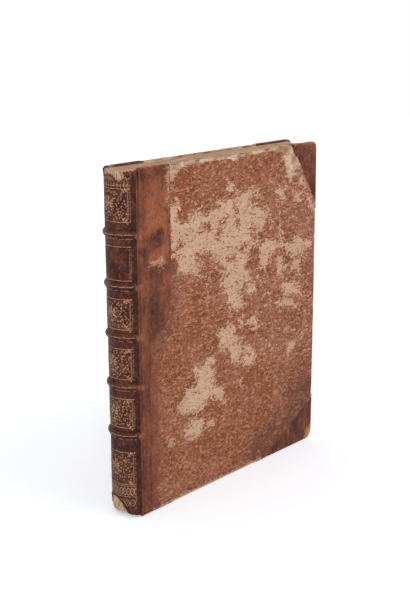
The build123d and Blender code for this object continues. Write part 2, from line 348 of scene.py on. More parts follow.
def mottled_paper():
    """Rust-red paper with dark veins, rubbed to its pale core where bare is above 0."""
    r = Recipe("mottled_paper")
    wide = (1.6, 1, 0.8)
    ground = r.mix(r.step(r.noise(30, 3), 0.40, 0.60), (158, 94, 64), (172, 110, 84))
    curls = r.noise(2.9, 3, 0.55, 1.6, 0.0, (1.7, 1, 0.8))
    vein = r.step(r.math("ABSOLUTE", r.math("SUBTRACT", curls, 0.5)), 0.0, 0.05, 0.6, 0.0)
    lights = r.noise(2.1, 2, 0.5, 0.6, 7.0, wide)
    bare = r.ragged("bare", r.noise(3.0, 3.5, 0.6, 1.0, 3.0, wide), 38.0)
    worn = r.step(bare, -0.3, 0.6)
    rim = r.math("MULTIPLY", r.step(bare, -2.6, -0.4), r.step(bare, -0.4, 0.5, 0.35, 0.0))
    core = r.mix(r.noise(11, 3, 0.6, 0.0, 11.0, (2.0, 1, 0.7)), (190, 147, 116), (225, 188, 160))
    core = r.coats(core,
                   (r.spots(0.60, 0.05, 0.8, 1.7, 2, 0.5, 0.3, 19.0, (1.4, 1, 0.8)), (140, 92, 66)),
                   (r.spots(0.53, 0.12, 0.4, 1.5, 4, 0.65, 0.3, 27.0, (3.0, 1, 0.6)), (156, 112, 84)))
    grime = r.noise(10, 4, 0.62, 0.3, 23.0)
    smear = r.mix(r.step(grime, 0.4, 0.6), (134, 78, 60), (112, 64, 52))
    soil = r.math("MULTIPLY", r.attribute("soil"), r.step(grime, 0.38, 0.58, 0.4, 1.0))
    colour = r.coats(ground,
                     (vein, (108, 56, 36)),
                     (r.spots(0.53, 0.08, 0.7, 2.2, 2, 0.5, 0.7, 31.0, wide), (98, 52, 34)),
                     (r.step(lights, 0.54, 0.63, 0.0, 0.72), (208, 152, 120)),
                     (r.spots(0.35, 0.3, 0.22, 0.9, 2, 0.5, 0.0, 15.0, wide), (90, 48, 32)),
                     (rim, (196, 142, 112)),
                     (worn, core),
                     (r.attribute("smear"), smear),
                     (soil, (94, 66, 56)),
                     (r.step(r.ragged("rub", lights, 1.0), 0.35, 0.70, 0.0, 0.8), (202, 156, 126)))
    relief = r.math("MULTIPLY_ADD", worn, -0.8, r.math("MULTIPLY", r.noise(0.9, 4, 0.6), 0.7))
    return r.finish(colour, r.step(lights, 0.3, 0.7, 0.66, 0.86), relief, 0.12, 0.12)


def leather(name, dark, haze_dark, flakes=False):
    """Calf: tone runs from dark purple-brown to rust; rub shows the tan core, and on the corners also
    paints highlights; the darkening attribute paints soil and shade.
    """
    r = Recipe(name)
    tall = (1, 1, 1.2)
    warm = r.step(r.ragged("tone", r.noise(10, 4, 0.62, 0.6, 0.0, tall), 0.5), 0.0, 1.0)
    haze = r.mix(warm, haze_dark, (174, 116, 90))
    cracks = r.step(r.cells(3.1, "DISTANCE_TO_EDGE", r.bend(2.0, 1.6)), 0.0, 0.05, 1.0, 0.0)
    crackle = r.math("MULTIPLY", cracks, r.spots(0.45, 0.15, 1.0, 8, 2, 0.5, 0, 13.0))
    bare = r.ragged("rub", r.noise(1.9, 5, 0.72, 0.2, 21.0), 1.7)
    colour = r.coats(r.mix(warm, dark, (166, 94, 58)),
                     (r.spots(0.46, 0.16, 0.5, 3.0, 5, 0.68, 0.4, 5.0, tall), haze),
                     (r.spots(0.50, 0.18, 0.5, 3.6, 4, 0.66, 0.5, 9.0, tall), (58, 27, 20)),
                     (r.math("MULTIPLY", crackle, 0.5), (52, 26, 18)),
                     (r.step(bare, 0.28, 0.62, 0.0, 0.85), (162, 96, 52)),
                     (r.step(bare, 0.72, 1.0, 0.0, 0.85), (202, 148, 104)),
                     # The darkening attribute: painted shade in hollows, creases, the joint's gully and
                     # crack and under lifted edges, together with soil
                     (r.attribute("shade"), (38, 18, 11)))
    if flakes:
        flake = r.ragged("flake", r.noise(2.4, 5, 0.72, 0.5, 33.0, (1.8, 1, 0.8)), 26.0)
        paper = r.mix(r.spots(0.45, 0.2, 1.0, 2.0, 3), (194, 146, 116), (150, 96, 68))
        colour = r.mix(r.step(flake, 0.0, 0.8), colour, paper)
    grain = r.math("MULTIPLY_ADD", r.noise(2.4, 4), 0.8, r.cells(0.8, "F1", r.place))
    relief = r.math("MULTIPLY_ADD", crackle, -0.8, grain)
    return r.finish(colour, r.step(bare, 0.2, 0.9, 0.45, 0.8), relief, 0.14, 0.14)


def gilt():
    """Old gold leaf: worn thin, so that the leather shows through in places."""
    r = Recipe("gilt")
    gold = r.mix(r.noise(3.0, 3, 0.6), (160, 118, 92), (208, 168, 124))
    worn = r.noise(1.9, 4, 0.7, 0.0, 4.0)
    colour = r.mix(r.step(worn, 0.50, 0.64), gold, (120, 76, 58))
    r.fill(r.tree.nodes["Principled BSDF"], {"Metallic": r.step(worn, 0.50, 0.64, 0.35, 0.0)})
    return r.finish(colour, r.step(worn, 0.4, 0.62, 0.38, 0.6), r.noise(0.7, 3), 0.04, 0.25)


def pasteboard(name, cad=False):
    """Tan board of pasted sheets, frayed and soiled where it is bare, with painted shade in the gaps
    between the sheets on the head edge.
    """
    r = Recipe(name, cad)
    sheets = r.noise(2.0, 4, 0.6, 0.0, 0.0, (8, 0.25, 8))
    gaps = r.noise(1.6, 3, 0.6, 0.0, 17.0, (6, 0.3, 5))
    # Painted shade in the gaps between the sheets, near the head edge
    edge_gap_shade = r.step(r.axis("Z"), BOARD_HEAD - 1.3, BOARD_HEAD - 0.3, 0.0, 0.85)
    colour = r.coats(r.mix(r.step(sheets, 0.35, 0.65), (166, 122, 94), (232, 202, 176)),
                     (r.spots(0.5, 0.15, 0.55, 6, 4, 0.62, 0.3, 6.0, (1.6, 1, 1)), (150, 98, 68)),
                     (r.math("MULTIPLY", r.step(gaps, 0.52, 0.60), edge_gap_shade), (70, 40, 27)))
    return r.finish(colour, 0.85, r.math("ADD", sheets, gaps), 0.2, 0.12)


def page_edges():
    """Edges of the leaves: leaf counts across the thickness, back is 1 on the folds. The dark lines
    between leaves and the creases between gatherings are painted shade.
    """
    r = Recipe("page_edges")
    leaf = r.math("MULTIPLY_ADD", r.noise(20, 2, 0.5, 0.0, 2.0), 0.6, r.attribute("leaf"))
    lines = r.math("SINE", r.math("MULTIPLY", leaf, 2 * math.pi))
    broad = r.noise(6, 4, 0.6, 0.2, 8.0, (5, 0.35, 2.5))
    glue = r.noise(2.6, 4, 0.65, 0.5, 18.0, (1, 1, 2.0))
    folds = r.mix(r.step(glue, 0.44, 0.64), (246, 212, 180), (196, 142, 106))
    colour = r.coats(r.mix(r.step(broad, 0.35, 0.65), (214, 172, 138), (240, 208, 176)),
                     # Painted shade in the gaps between the leaves
                     (r.step(lines, 0.1, 0.95, 0.0, 0.4), (150, 104, 74)),
                     (r.spots(0.5, 0.2, 0.5, 12, 4, 0.65, 0.4, 14.0, (1.5, 0.8, 1)), (156, 108, 78)),
                     (r.attribute("back"), folds),
                     # crease: painted shade in the valleys between the gatherings
                     (r.math("MULTIPLY", r.attribute("crease"), 0.75), (104, 64, 44)))
    return r.finish(colour, 0.8, r.math("ADD", lines, glue), 0.08, 0.12)


def laid_paper(name, light, dark, cad=True):
    """Handmade paper with faint chain lines, wire lines, foxing and browned edges."""
    r = Recipe(name, cad)
    height = r.axis("Z")
    wires, chains = (r.math("SINE", r.math("MULTIPLY", place, 2 * math.pi / pitch))
                     for place, pitch in ((height, 1.1), (r.axis("X"), 26)))
    damp = r.math("MULTIPLY_ADD", r.noise(30, 4, 0.6, 0, 37.0), 60, height)
    colour = r.coats(r.mix(r.noise(40, 3, 0.5), light, dark),
                     (r.step(wires, 0.2, 1.0, 0.0, 0.07), (150, 124, 92)),
                     (r.step(chains, 0.985, 1.0, 0.0, 0.25), (150, 124, 92)),
                     (r.spots(0.60, 0.14, 0.6, 9, 3, 0.6, 0.2, 12.0), (176, 128, 84)),
                     (r.spots(0.68, 0.08, 0.6, 2.2, 2, 0.5, 0, 25.0), (150, 104, 66)),
                     (r.step(damp, 60, 20, 0.0, 0.45), (158, 122, 84)),
                     (r.step(damp, 290, 330, 0.0, 0.35), (158, 122, 84)))
    return r.finish(colour, 0.82, r.math("MULTIPLY_ADD", wires, 0.15, r.noise(1.6, 4)), 0.05, 0.15)


def hemp():
    """Sewing cord and its frayed slips."""
    r = Recipe("hemp", cad=True)
    strands = r.noise(0.7, 4, 0.6, 0.0, 0.0, (5, 1, 1))
    colour = r.coats(r.mix(strands, (140, 108, 72), (196, 166, 124)),
                     (r.spots(0.5, 0.2, 0.5, 5, 3), (112, 80, 52)))
    return r.finish(colour, 0.85, strands, 0.15, 0.12)


LEATHER_FINISH = leather("spine_leather", (56, 23, 16), (110, 70, 62))
SIDE_LEATHER_FINISH = leather("side_leather", (70, 31, 24), (114, 70, 60), flakes=True)
GILT_FINISH = gilt()
PAPER_FINISH = mottled_paper()
EDGE_FINISH = pasteboard("pasteboard")
PAGE_FINISH = page_edges()
HINGE_FINISH = laid_paper("hinge_paper", (206, 184, 148), (186, 160, 124), cad=False)


def finish_solids():
    """Materials for the solids that show as they are."""
    finishes = {"board": pasteboard("board_solid", cad=True),
                "pastedown": laid_paper("endpaper", (222, 196, 166), (200, 168, 136)),
                "flyleaf": laid_paper("flyleaf", (226, 202, 174), (206, 176, 146))}
    cord = hemp()
    for name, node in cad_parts.items():
        node.data.materials.clear()
        node.data.materials.append(finishes.get(name.split("_")[-1], cord))


# The outline of a board, from the head edge round to the tail edge

def fore_edge_x(z):
    """The bowed fore-edge of a board."""
    middle = (BOARD_TAIL + BOARD_HEAD) / 2
    radius = (BOARD_HEAD - BOARD_TAIL) ** 2 / (8 * FORE_BOW) + FORE_BOW / 2
    return BOARD_END + FORE_BOW - (z - middle) ** 2 / (2 * radius)


def board_outline(spacing):
    """Points and outward normals in the X-Z plane, joint line at both ends."""
    def corner(z, radius, first, last):
        count = max(4, int(radius * math.pi / 2 / (spacing * 0.6)))
        turn = np.radians(np.linspace(first, last, count + 1))
        return stacked(BOARD_END - radius + radius * np.cos(turn), z + radius * np.sin(turn))

    low = BOARD_TAIL + TAIL_ROUND
    high = BOARD_HEAD - HEAD_ROUND
    z = np.arange(high, low, -spacing)[1:]
    points = np.concatenate([
        stacked(np.arange(COVER_START, BOARD_END - HEAD_ROUND, spacing), BOARD_HEAD),
        corner(high, HEAD_ROUND, 90, 0),
        stacked(fore_edge_x(z), z),
        corner(low, TAIL_ROUND, 0, -90),
        stacked(np.arange(BOARD_END - TAIL_ROUND, COVER_START, -spacing)[1:], BOARD_TAIL)])
    direction = np.gradient(points, axis=0)
    direction /= np.linalg.norm(direction, axis=1, keepdims=True)
    return points, stacked(-direction[:, 1], direction[:, 0])


def edge_path(face, grow, radius, inside, depth):
    """Path over a board's edge: (distance outward from the outline, distance from the middle).

    It starts on the outer face at the outline, rounds the edge, crosses it, rounds the inner
    edge and runs back by depth on the inner face."""
    inner = radius * 0.7
    turn = math.pi / 2 * np.arange(1, 5) / 4
    share = np.linspace(0, 1, 4)[1:]
    return np.concatenate([
        stacked(grow - radius + radius * np.sin(turn), face - radius + radius * np.cos(turn)),
        stacked(grow, (face - radius) * (1 - share) + (inside + inner) * share),
        stacked(grow - inner + inner * np.cos(turn), inside + inner - inner * np.sin(turn)),
        stacked(grow - inner - (depth + grow - inner) * np.arange(1, 9) / 8, inside)])


def leather_edge(thick):
    """Paths of the leather's outer and inner face over a board's edge."""
    return (edge_path(SKIN_OUT, LEATHER, EDGE_RADIUS, BOARD_IN - LEATHER, TURN_IN),
            edge_path(SKIN_OUT - thick, LEATHER - thick, EDGE_RADIUS - thick,
                      BOARD_IN - LEATHER + thick, TURN_IN))


# The spine. A tear is its height at each angle and the seed of its raggedness.

TAIL_TEAR = ([(-67, 0.8), (-56, 6.0), (-47, 14.5), (-29, 16.4), (-15, 16.8), (-2, 16.2), (8, 13.4),
              (17, 10.2), (23, 7.2), (26, 4.2), (31, 3.0), (49, 2.4), (60, 1.4), (67, 0.6)], 3.0)
HEAD_TEAR = ([(-67, 289.2), (-52, 287.4), (-40, 285.6), (-29, 284.7), (-7, 285.9), (7, 285.1),
              (12, 283.0), (18, 281.5), (26, 281.0), (32, 281.8), (38, 284.2), (44, 287.2),
              (50, 287.9), (57, 288.3), (67, 288.9)], 7.0)


def tears(angles):
    """Heights of the torn tail and head for each angle, with the raggedness of split leather."""
    calm = smooth(64, 58, np.abs(angles))
    return [np.interp(angles, *zip(*outline))
            + calm * (0.8 * wander(angles, 5.0, seed) + 0.35 * wander(angles, 1.6, seed + 9))
            for outline, seed in (TAIL_TEAR, HEAD_TEAR)]


def band_rise(z):
    """Height of the raised bands over the panels, with a tied-down hollow at each foot."""
    rise = 0.0
    for middle in BANDS:
        distance = np.abs(z - middle) / BAND_HALF
        rise = rise + BAND_HEIGHT * np.clip(1 - distance ** 2.4, 0, 1) ** 0.85
        rise = rise - 0.16 * hump(distance, 1.12, 0.16)
    return rise


def spine_radius(angle, z):
    """Radius of the leather's outer face about the arc's axis."""
    away = np.abs(angle)
    points = stacked(angle * 0.32, z, 0.0)
    dents = 0.22 * clouds(points, 26, 2, 4.0) + 0.07 * clouds(points, 6, 3, 8.0)
    fade = smooth(68.5, 61.5, away) * 0.75 + 0.25
    radius = SKIN_RADIUS + band_rise(z) * fade + dents * smooth(66, 58, away)
    slope = 0.1228 * (radius * np.cos(np.radians(angle)) - ARC_X)
    limit = np.minimum(SKIN_OUT + 0.1 * smooth(66, 60, away) + slope, SKIN_WIDEST)
    lean = np.abs(np.sin(np.radians(angle)))
    return np.where(radius * lean > limit, limit / np.maximum(lean, 0.1), radius)


def on_spine(angle, z, radius):
    turn = np.radians(angle)
    return stacked(ARC_X - radius * np.cos(turn), -radius * np.sin(turn), z)


def spine_rows():
    """Heights of the rows of points, closer together over the bands."""
    rows = [TAIL]
    while rows[-1] < HEAD:
        fine = band_distance(rows[-1]) < BAND_HALF + 1.5
        rows.append(rows[-1] + (0.42 if fine else 1.05))
    rows[-1] = HEAD
    return np.array(rows)


def spine_skin():
    """The tight back from ridge to ridge, torn at both ends."""
    angles = np.linspace(-RIDGE_ANGLE, RIDGE_ANGLE, 84)
    low, high = tears(angles)
    reach = 24.0
    z = spine_rows()[:, None] + 0 * angles
    tail_share = np.clip((z - TAIL) / reach, 0, 1)
    head_share = np.clip((HEAD - z) / reach, 0, 1)
    z = np.where(tail_share < 1, low + (TAIL + reach - low) * tail_share, z)
    z = np.where(head_share < 1, high - (high - HEAD + reach) * head_share, z)
    angle = angles + 0 * z
    torn = np.minimum(z - low, high - z)
    curl = smooth(1.8, 0.0, torn) * smooth(64, 56, np.abs(angle))
    radius = spine_radius(angle, z)
    radius = radius + curl * 0.45 * (1 + clouds(stacked(angle * 0.32, z, 0.0), 5, 2, 30.0))
    outer = on_spine(angle, z, radius)
    inner = on_spine(angle, z, radius - 0.6 + 0.35 * smooth(1.2, 0.0, torn))

    near_joint = smooth(50, 58, np.abs(angle))
    to_band = band_distance(z)
    lump = smooth(4.2, 1.0, band_distance(z, 1.2))
    knot = lump * smooth(55, 62, np.abs(angle))
    cloud = clouds(outer, 13, 3, 12.0)
    streak = clouds(outer, (9, 9, 2.4), 3, 15.0)
    grit = clouds(outer, 1.7, 2, 18.0)
    rub = 0.16 * smooth(BAND_HALF, 0.4, to_band)
    rub = rub + 0.50 * smooth(0.9, 0.1, band_distance(z, BAND_HALF)) * (0.75 + streak)
    rub = rub + 0.30 * hump(np.abs(angle), 65, 1.6) * (0.5 + streak) + 0.05 * smooth(0.1, 0.8, cloud)
    rub = np.minimum(rub + 0.4 * knot * smooth(0.5, -0.3, grit), 0.46) + 0.42 * smooth(1.4, 0.0, torn)
    rub = rub + 0.45 * smooth(2.0, 0.2, high - z) * smooth(-38, -30, angle) * smooth(-6, -14, angle)
    tone = 0.19 + 0.17 * cloud - 0.04 * near_joint + 0.45 * knot
    # Painted shade: a dark line in the hollow at each band's foot and a streaky one under each band's
    # crest. Towards the joints the leather is darker in clouds.
    under = smooth(1.3, 0.3, band_distance(z, 1.5))
    shade = 0.40 * hump(to_band, BAND_HALF + 0.5, 0.7)
    shade = shade + 0.55 * under * smooth(-0.7, 0.4, streak) * (1 - near_joint)
    shade = shade + near_joint * (0.10 + 0.3 * smooth(-0.4, 0.6, cloud)) * (1 - 0.8 * lump)
    skin = new_object("spine_skin", *shell_parts(outer, inner, tone=np.clip(tone, 0, 1), rub=rub,
                                                 shade=np.clip(shade, 0, 0.8)))
    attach(skin, "block")
    dress(skin, LEATHER_FINISH, "spine_leather")


FRINGE = [                 # angle, foot, length, lean sideways, curl inward, width, tone, rub
    (43.0, 285.6, 2.2, -3.4, 1.9, 3.0, 0.10, 0.12), (47.0, 284.6, 3.4, -3.0, 1.0, 3.2, 0.34, 0.26),
    (51.0, 283.6, 4.6, -2.4, 1.7, 3.0, 0.00, 0.05), (55.0, 283.0, 5.4, -1.4, 0.6, 3.2, 0.42, 0.22),
    (59.5, 282.4, 6.2, -1.8, 1.3, 3.0, 0.05, 0.10), (64.0, 282.6, 6.3, -0.6, 0.1, 3.2, 0.36, 0.26),
    (69.0, 283.2, 5.6, -1.2, 0.5, 3.0, 0.10, 0.12), (74.5, 284.0, 4.9, -0.4, 0.2, 2.6, 0.40, 0.28),
    (-52.0, 286.0, 3.0, 1.6, 0.8, 2.4, 0.10, 0.15), (-57.0, 285.2, 4.4, 1.0, 1.2, 2.2, 0.00, 0.05),
    (-63.0, 285.4, 4.3, -0.6, 0.4, 2.0, 0.10, 0.20),
]


def head_fringe():
    """Curled strips of torn leather that still stand up at the head, by each joint."""
    parts = []
    share = np.linspace(0, 1, 10)[:, None]
    across = np.linspace(-1, 1, 5)
    for angle, foot, length, lean, curl, width, tone, rub in FRINGE:
        height = foot + length * np.sin(1.4 * share) / math.sin(1.4)
        half = width / 2 * (1 - 0.65 * share ** 2)
        angles = angle + np.degrees((lean * share ** 1.6 + half * across) / SKIN_RADIUS)
        z = np.minimum(height, HEAD - 0.1) + 0 * across
        lift = 0.12 + 0.55 * np.sin(math.pi * share) - curl * share ** 2 + 0.18 * (1 - across ** 2)
        radius = spine_radius(angles, np.minimum(z, 280.0)) + lift
        outer = on_spine(angles, z, radius)
        inner = on_spine(angles, z, radius - 0.32)
        for points, room in ((outer, 0.6), (inner, 0.28)):
            points[..., 1] = np.clip(points[..., 1], -SKIN_OUT - room, SKIN_OUT + room)
        # The darkening at the foot of each strip is painted shade.
        parts.append(shell_parts(outer, inner, tone=tone, rub=rub * (0.4 + 0.9 * share),
                                 shade=0.35 * (1 - share) * (1 - tone)))
    strips = new_object("head_fringe", *joined(parts))
    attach(strips, "block")
    dress(strips, LEATHER_FINISH)


# Gold tooling on the spine. U runs round the back from its middle towards the front, V is up.

GOLD_TOP = 0.06            # lift of the leaf's two faces over the leather
GOLD_FOOT = -0.05


class Tooling:
    """Collects small closed pieces of gold leaf that follow the leather."""

    def __init__(self):
        self.parts = []
        self.random = random.Random(5)

    def place(self, points, lift):
        u, v = np.array(points, float).T
        angle = np.degrees(u / SKIN_RADIUS)
        return on_spine(angle, v, spine_radius(angle, v) + lift)

    def patch(self, points):
        """A flat outline, given as points round it."""
        count = len(points)
        faces = [range(count), range(2 * count - 1, count - 1, -1)]
        faces += [(n, count + n, count + (n + 1) % count, (n + 1) % count) for n in range(count)]
        both = [self.place(points, lift) for lift in (GOLD_TOP, GOLD_FOOT)]
        self.parts.append((np.concatenate(both), faces, {}))

    def stroke(self, points, width, taper=False):
        """A ribbon along a line of points."""
        line = np.array(points, float)
        count = len(line)
        direction = np.gradient(line, axis=0)
        direction /= np.maximum(np.linalg.norm(direction, axis=1, keepdims=True), 1e-9)
        across = stacked(-direction[:, 1], direction[:, 0]) * width / 2
        if taper:
            across = across * np.sin(np.pi * np.linspace(0.1, 0.9, count))[:, None]
        corners = ((1, GOLD_TOP), (-1, GOLD_TOP), (-1, GOLD_FOOT), (1, GOLD_FOOT))
        rings = [self.place(line + sign * across, lift) for sign, lift in corners]
        faces = []
        for a, b in ((0, 1), (1, 2), (2, 3), (3, 0)):
            faces += [(a * count + n, b * count + n, b * count + n + 1, a * count + n + 1)
                      for n in range(count - 1)]
        faces.append((0, 3 * count, 2 * count, count))
        faces.append((count - 1, 2 * count - 1, 3 * count - 1, 4 * count - 1))
        self.parts.append((np.concatenate(rings), faces, {}))

    def dot(self, u, v, radius):
        turn = self.random.uniform(0, 1)
        self.patch([(u + radius * math.cos(turn + a), v + radius * math.sin(turn + a))
                    for a in np.linspace(0, 2 * math.pi, 7)[:-1]])

    def arc(self, u, v, radius, first, last, width=0.32):
        angles = np.radians(np.linspace(first, last, max(4, int(abs(last - first) / 30) + 1)))
        self.stroke(stacked(u + radius * np.cos(angles), v + radius * np.sin(angles)), width, True)

    def leaf(self, u, v, length, turn, width=0.9):
        """A pointed petal that starts at u, v."""
        c, s = math.cos(math.radians(turn)), math.sin(math.radians(turn))
        shape = ((0, 0), (0.35, 0.5), (0.7, 0.35), (1, 0), (0.7, -0.35), (0.35, -0.5))
        self.patch([(u + c * a * length - s * b * width, v + s * a * length + c * b * width)
                    for a, b in shape])

    def star(self, u, v, size):
        for turn in (45, 135, 225, 315):
            self.leaf(u, v, size, turn, size * 0.45)

    def rule(self, v, first=0.0, last=0.0, width=0.46, sway=0.05, gaps=(0.0, 0.0, 0.0, 0.4)):
        """A line round the spine, broken where the gold has gone, longer at both ends by first
        and last than the panels."""
        u = PANEL_BACK - first
        while u < PANEL_FRONT + last:
            end = min(u + self.random.uniform(3.0, 7.0), PANEL_FRONT + last)
            points = [(a, v + sway * math.sin(a + v)) for a in np.linspace(u, end, 5)]
            self.stroke(points, width * self.random.uniform(0.8, 1.15))
            u = end + self.random.choice(gaps)

    def ladder(self, u, low, high, width=1.3, pitch=1.15):
        """A double column of dots, as the border of a panel."""
        v = low
        while v < high:
            for across in (u - width / 2, u + width / 2):
                if self.random.random() > 0.10:
                    self.dot(across, v, 0.29)
            v += pitch

    def fleuron(self, u, v, size):
        """A generic flower tool: a round heart, petals, two scrolls and a short stem."""
        self.dot(u, v + 0.1 * size, 0.13 * size)
        for turn in (90, 35, 145, 0, 180, -40, 220):
            reach = 0.5 if turn == 90 else 0.38
            self.leaf(u + 0.15 * size * math.cos(math.radians(turn)),
                      v + 0.1 * size + 0.15 * size * math.sin(math.radians(turn)),
                      reach * size, turn, 0.17 * size)
        for sign in (-1, 1):
            self.arc(u + sign * 0.3 * size, v - 0.42 * size, 0.22 * size,
                     90 + sign * 90, 90 - sign * 150, 0.4)
            self.dot(u + sign * 0.34 * size, v - 0.42 * size, 0.07 * size)
            self.dot(u + sign * 0.55 * size, v + 0.5 * size, 0.07 * size)
        self.stroke([(u, v - 0.1 * size), (u, v - 0.4 * size), (u, v - 0.68 * size)], 0.4)
        for turn in (-50, 230):
            self.leaf(u, v - 0.55 * size, 0.3 * size, turn, 0.12 * size)

    def sprig(self, u, v, size, turn):
        """A small curved branch with leaves, springing from u, v."""
        c, s = math.cos(math.radians(turn)), math.sin(math.radians(turn))

        def at(a, b):
            return u + size * (c * a - s * b), v + size * (s * a + c * b)

        self.stroke([at(0, 0), at(0.3, 0.06), at(0.62, 0.02), at(0.95, -0.1)], 0.34)
        for a, b, lean in ((0.28, 0.06, 55), (0.28, 0.06, -55), (0.6, 0.02, 48), (0.6, 0.02, -60)):
            self.leaf(*at(a, b), 0.34 * size, turn + lean, 0.13 * size)
        self.dot(*at(1.08, -0.14), 0.09 * size)


PANEL_FRONT = 16.6         # the gilt stops this far round the back, towards each joint
PANEL_BACK = -17.4
PANEL_MIDDLE = -2.4
PANELS = [(274.7, 248.8), (186.7, 162.0), (145.8, 120.4), (103.6, 79.0), (57.4, 29.4)]
TITLE_PANEL = (229.2, 202.0)
ZIGZAG_ROLL = (8.4, 17.4)
ROPE_ROLL = (18.4, 27.8)
HEAD_ROLL = 275.8
SMALL_TOOLS = 76           # of the powdering, in each panel
TRIES = 2500               # to place them


def borders(tool, low, high):
    """A column of dots down both sides of a panel."""
    for u in (PANEL_FRONT - 0.9, PANEL_BACK + 0.9):
        tool.ladder(u, low, high)


def gilt_panel(tool, top, bottom):
    """Rules, side borders, corner sprigs, a central flower and a powdering of small tools."""
    low, high = bottom + 1.4, top - 1.4
    middle = (low + high) / 2
    for v in (top, bottom):
        tool.rule(v)
    borders(tool, low, high)
    for u in (PANEL_FRONT - 2.2, PANEL_BACK + 2.2):
        tool.stroke([(u, v) for v in np.linspace(low, high, 12)], 0.25)
    tool.fleuron(PANEL_MIDDLE, middle + 0.4, 9.4)
    corner_v = (high - low) / 2 - 2.2
    for side in (-1, 1):
        for level in (-1, 1):
            u = PANEL_MIDDLE + side * 11.8
            tool.sprig(u, middle + level * corner_v, 6.4, 90 - side * 90 + side * level * 38)
            tool.arc(u - side * 1.2, middle + level * (corner_v - 3.6), 1.3, 0, 300, 0.34)
    placed = []
    tries = 0
    while len(placed) < SMALL_TOOLS and tries < TRIES:
        tries += 1
        u = tool.random.uniform(PANEL_BACK + 3.0, PANEL_FRONT - 3.0)
        v = tool.random.uniform(low + 0.3, high - 0.3)
        clear = math.hypot((u - PANEL_MIDDLE) / 0.9, (v - middle) / 1.3) > 4.2
        if clear and all(math.hypot(u - a, v - b) > 1.85 for a, b in placed):
            placed.append((u, v))
    for n, (u, v) in enumerate(placed):
        if n % 4 == 0:
            tool.star(u, v, 1.1)
        elif n % 4 == 1:
            tool.dot(u, v, 0.6)
        elif n % 4 == 2:
            tool.leaf(u - 0.5, v - 0.4, 1.8, tool.random.uniform(0, 180), 0.8)
        else:
            tool.arc(u, v, 0.65, 0, 300, 0.42)


def gilt_rope(tool, low, high):
    """A twist of two waves between rules, with a dot in each eye."""
    middle = (low + high) / 2
    for v in (low, high):
        tool.rule(v)
    pitch = 6.4
    swing = (high - low) * 0.36
    u = np.arange(PANEL_BACK + 0.6, PANEL_FRONT - 0.4, 0.5)
    for phase in (0.0, math.pi):
        v = middle + swing * np.sin(2 * math.pi * (u - PANEL_BACK) / pitch + phase)
        for first in range(0, len(u) - 4, 6):
            tool.stroke(stacked(u, v)[first:first + 7], 0.62)
    for n in range(int((PANEL_FRONT - PANEL_BACK) / (pitch / 2))):
        tool.dot(PANEL_BACK + pitch * (0.25 + 0.5 * n), middle, 0.4)


def gilt_zigzag(tool, low, high):
    """A chain of small lozenges with a dot in each and a dot between them."""
    pitch = 4.6
    middle = (low + high) / 2
    rise = (high - low) * 0.34
    u = PANEL_BACK + 0.8
    while u < PANEL_FRONT - pitch * 0.6:
        for side in (-1, 1):
            tool.stroke([(u, middle), (u + pitch / 2, middle + side * rise), (u + pitch, middle)], 0.55)
            tool.dot(u, middle + side * rise * 0.9, 0.42)
        tool.dot(u + pitch / 2, middle, 0.4)
        u += pitch


def gilt_head_roll(tool):
    """A row of sprigs, rings and stars under the torn head."""
    u = PANEL_BACK + 1
    while u < PANEL_FRONT - 1:
        tool.sprig(u + 0.6, HEAD_ROLL, 3.6, 96)
        tool.dot(u + 2.0, HEAD_ROLL + 1.4, 0.5)
        tool.arc(u + 0.4, HEAD_ROLL + 5.8, 0.8, 0, 300, 0.45)
        tool.star(u + 1.8, HEAD_ROLL + 7.6, 1.2)
        u += 2.8


def spine_gilding():
    tool = Tooling()
    for top, bottom in PANELS:
        gilt_panel(tool, top, bottom)
    for v in TITLE_PANEL:
        tool.rule(v)
    borders(tool, TITLE_PANEL[1] + 1.0, TITLE_PANEL[0] - 1.6)
    for middle in BANDS:
        tool.rule(middle + 0.2, 0.4, 1.0, 0.5, 0.22, (0.0, 0.3, 0.9))
        tool.rule(middle - BAND_HALF - 0.6, 0.4, 1.0, 0.3, 0.1, (0.0, 1.5, 3.0))
    gilt_rope(tool, *ROPE_ROLL)
    gilt_zigzag(tool, *ZIGZAG_ROLL)
    tool.ladder(PANEL_FRONT - 0.9, 8.0, 28.0)
    gilt_head_roll(tool)
    centres = np.array([points.mean(0) for points, _, _ in tool.parts])
    low, high = tears(np.degrees(np.arctan2(-centres[:, 1], ARC_X - centres[:, 0])))
    whole = (centres[:, 2] > low + 1.3) & (centres[:, 2] < high - 1.3)
    gold = new_object("spine_gilding", *joined([part for part, kept in zip(tool.parts, whole) if kept]))
    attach(gold, "block")
    dress(gold, GILT_FINISH)


# The leather over each joint and the strip of it on each board

BLOTCH = [(-2, 226), (8, 228), (13, 234), (23, 239), (28, 235), (25, 228), (15, 222), (2, 221)]
STRIP_FLAKES = [
    [(9, 215), (16, 214), (24, 217), (27, 213), (22, 211), (26, 206), (16, 210), (10, 211)],
    [(12, 25), (17, 24), (17, 17), (13, 16)],
    [(30, 288), (34, 288), (35, 258), (31, 258)],
]
STRIP_FLECKED = [[(6, 220), (30, 221), (31, 205), (8, 206)], [(11, 30), (22, 28), (23, 0), (13, 0)]]


def joint_height(x, z, seed):
    """Distance of the leather's outer face from the middle of the book."""
    points = stacked(x, z, seed)
    relief = 0.16 * clouds(points, (9, 14, 9), 3, seed)
    wear = smooth(STRIP_WIDTH, STRIP_WIDTH - 3.0, x)
    face = BOARD_OUT + 0.28 + (LEATHER - 0.28) * wear - 0.40 * hump(x, -1.3, 0.9)
    face = face + np.clip(relief, -0.2, 0.0) * smooth(-3.6, 0, x) * wear
    knot = 0.62 * hump(x, -0.6, 2.2) * smooth(3.6, 0.6, band_distance(z, 1.4))
    return face + knot * (1 + 0.5 * clouds(points, 2.4, 3, seed + 8)) * smooth(RIDGE_X, -3.2, x)


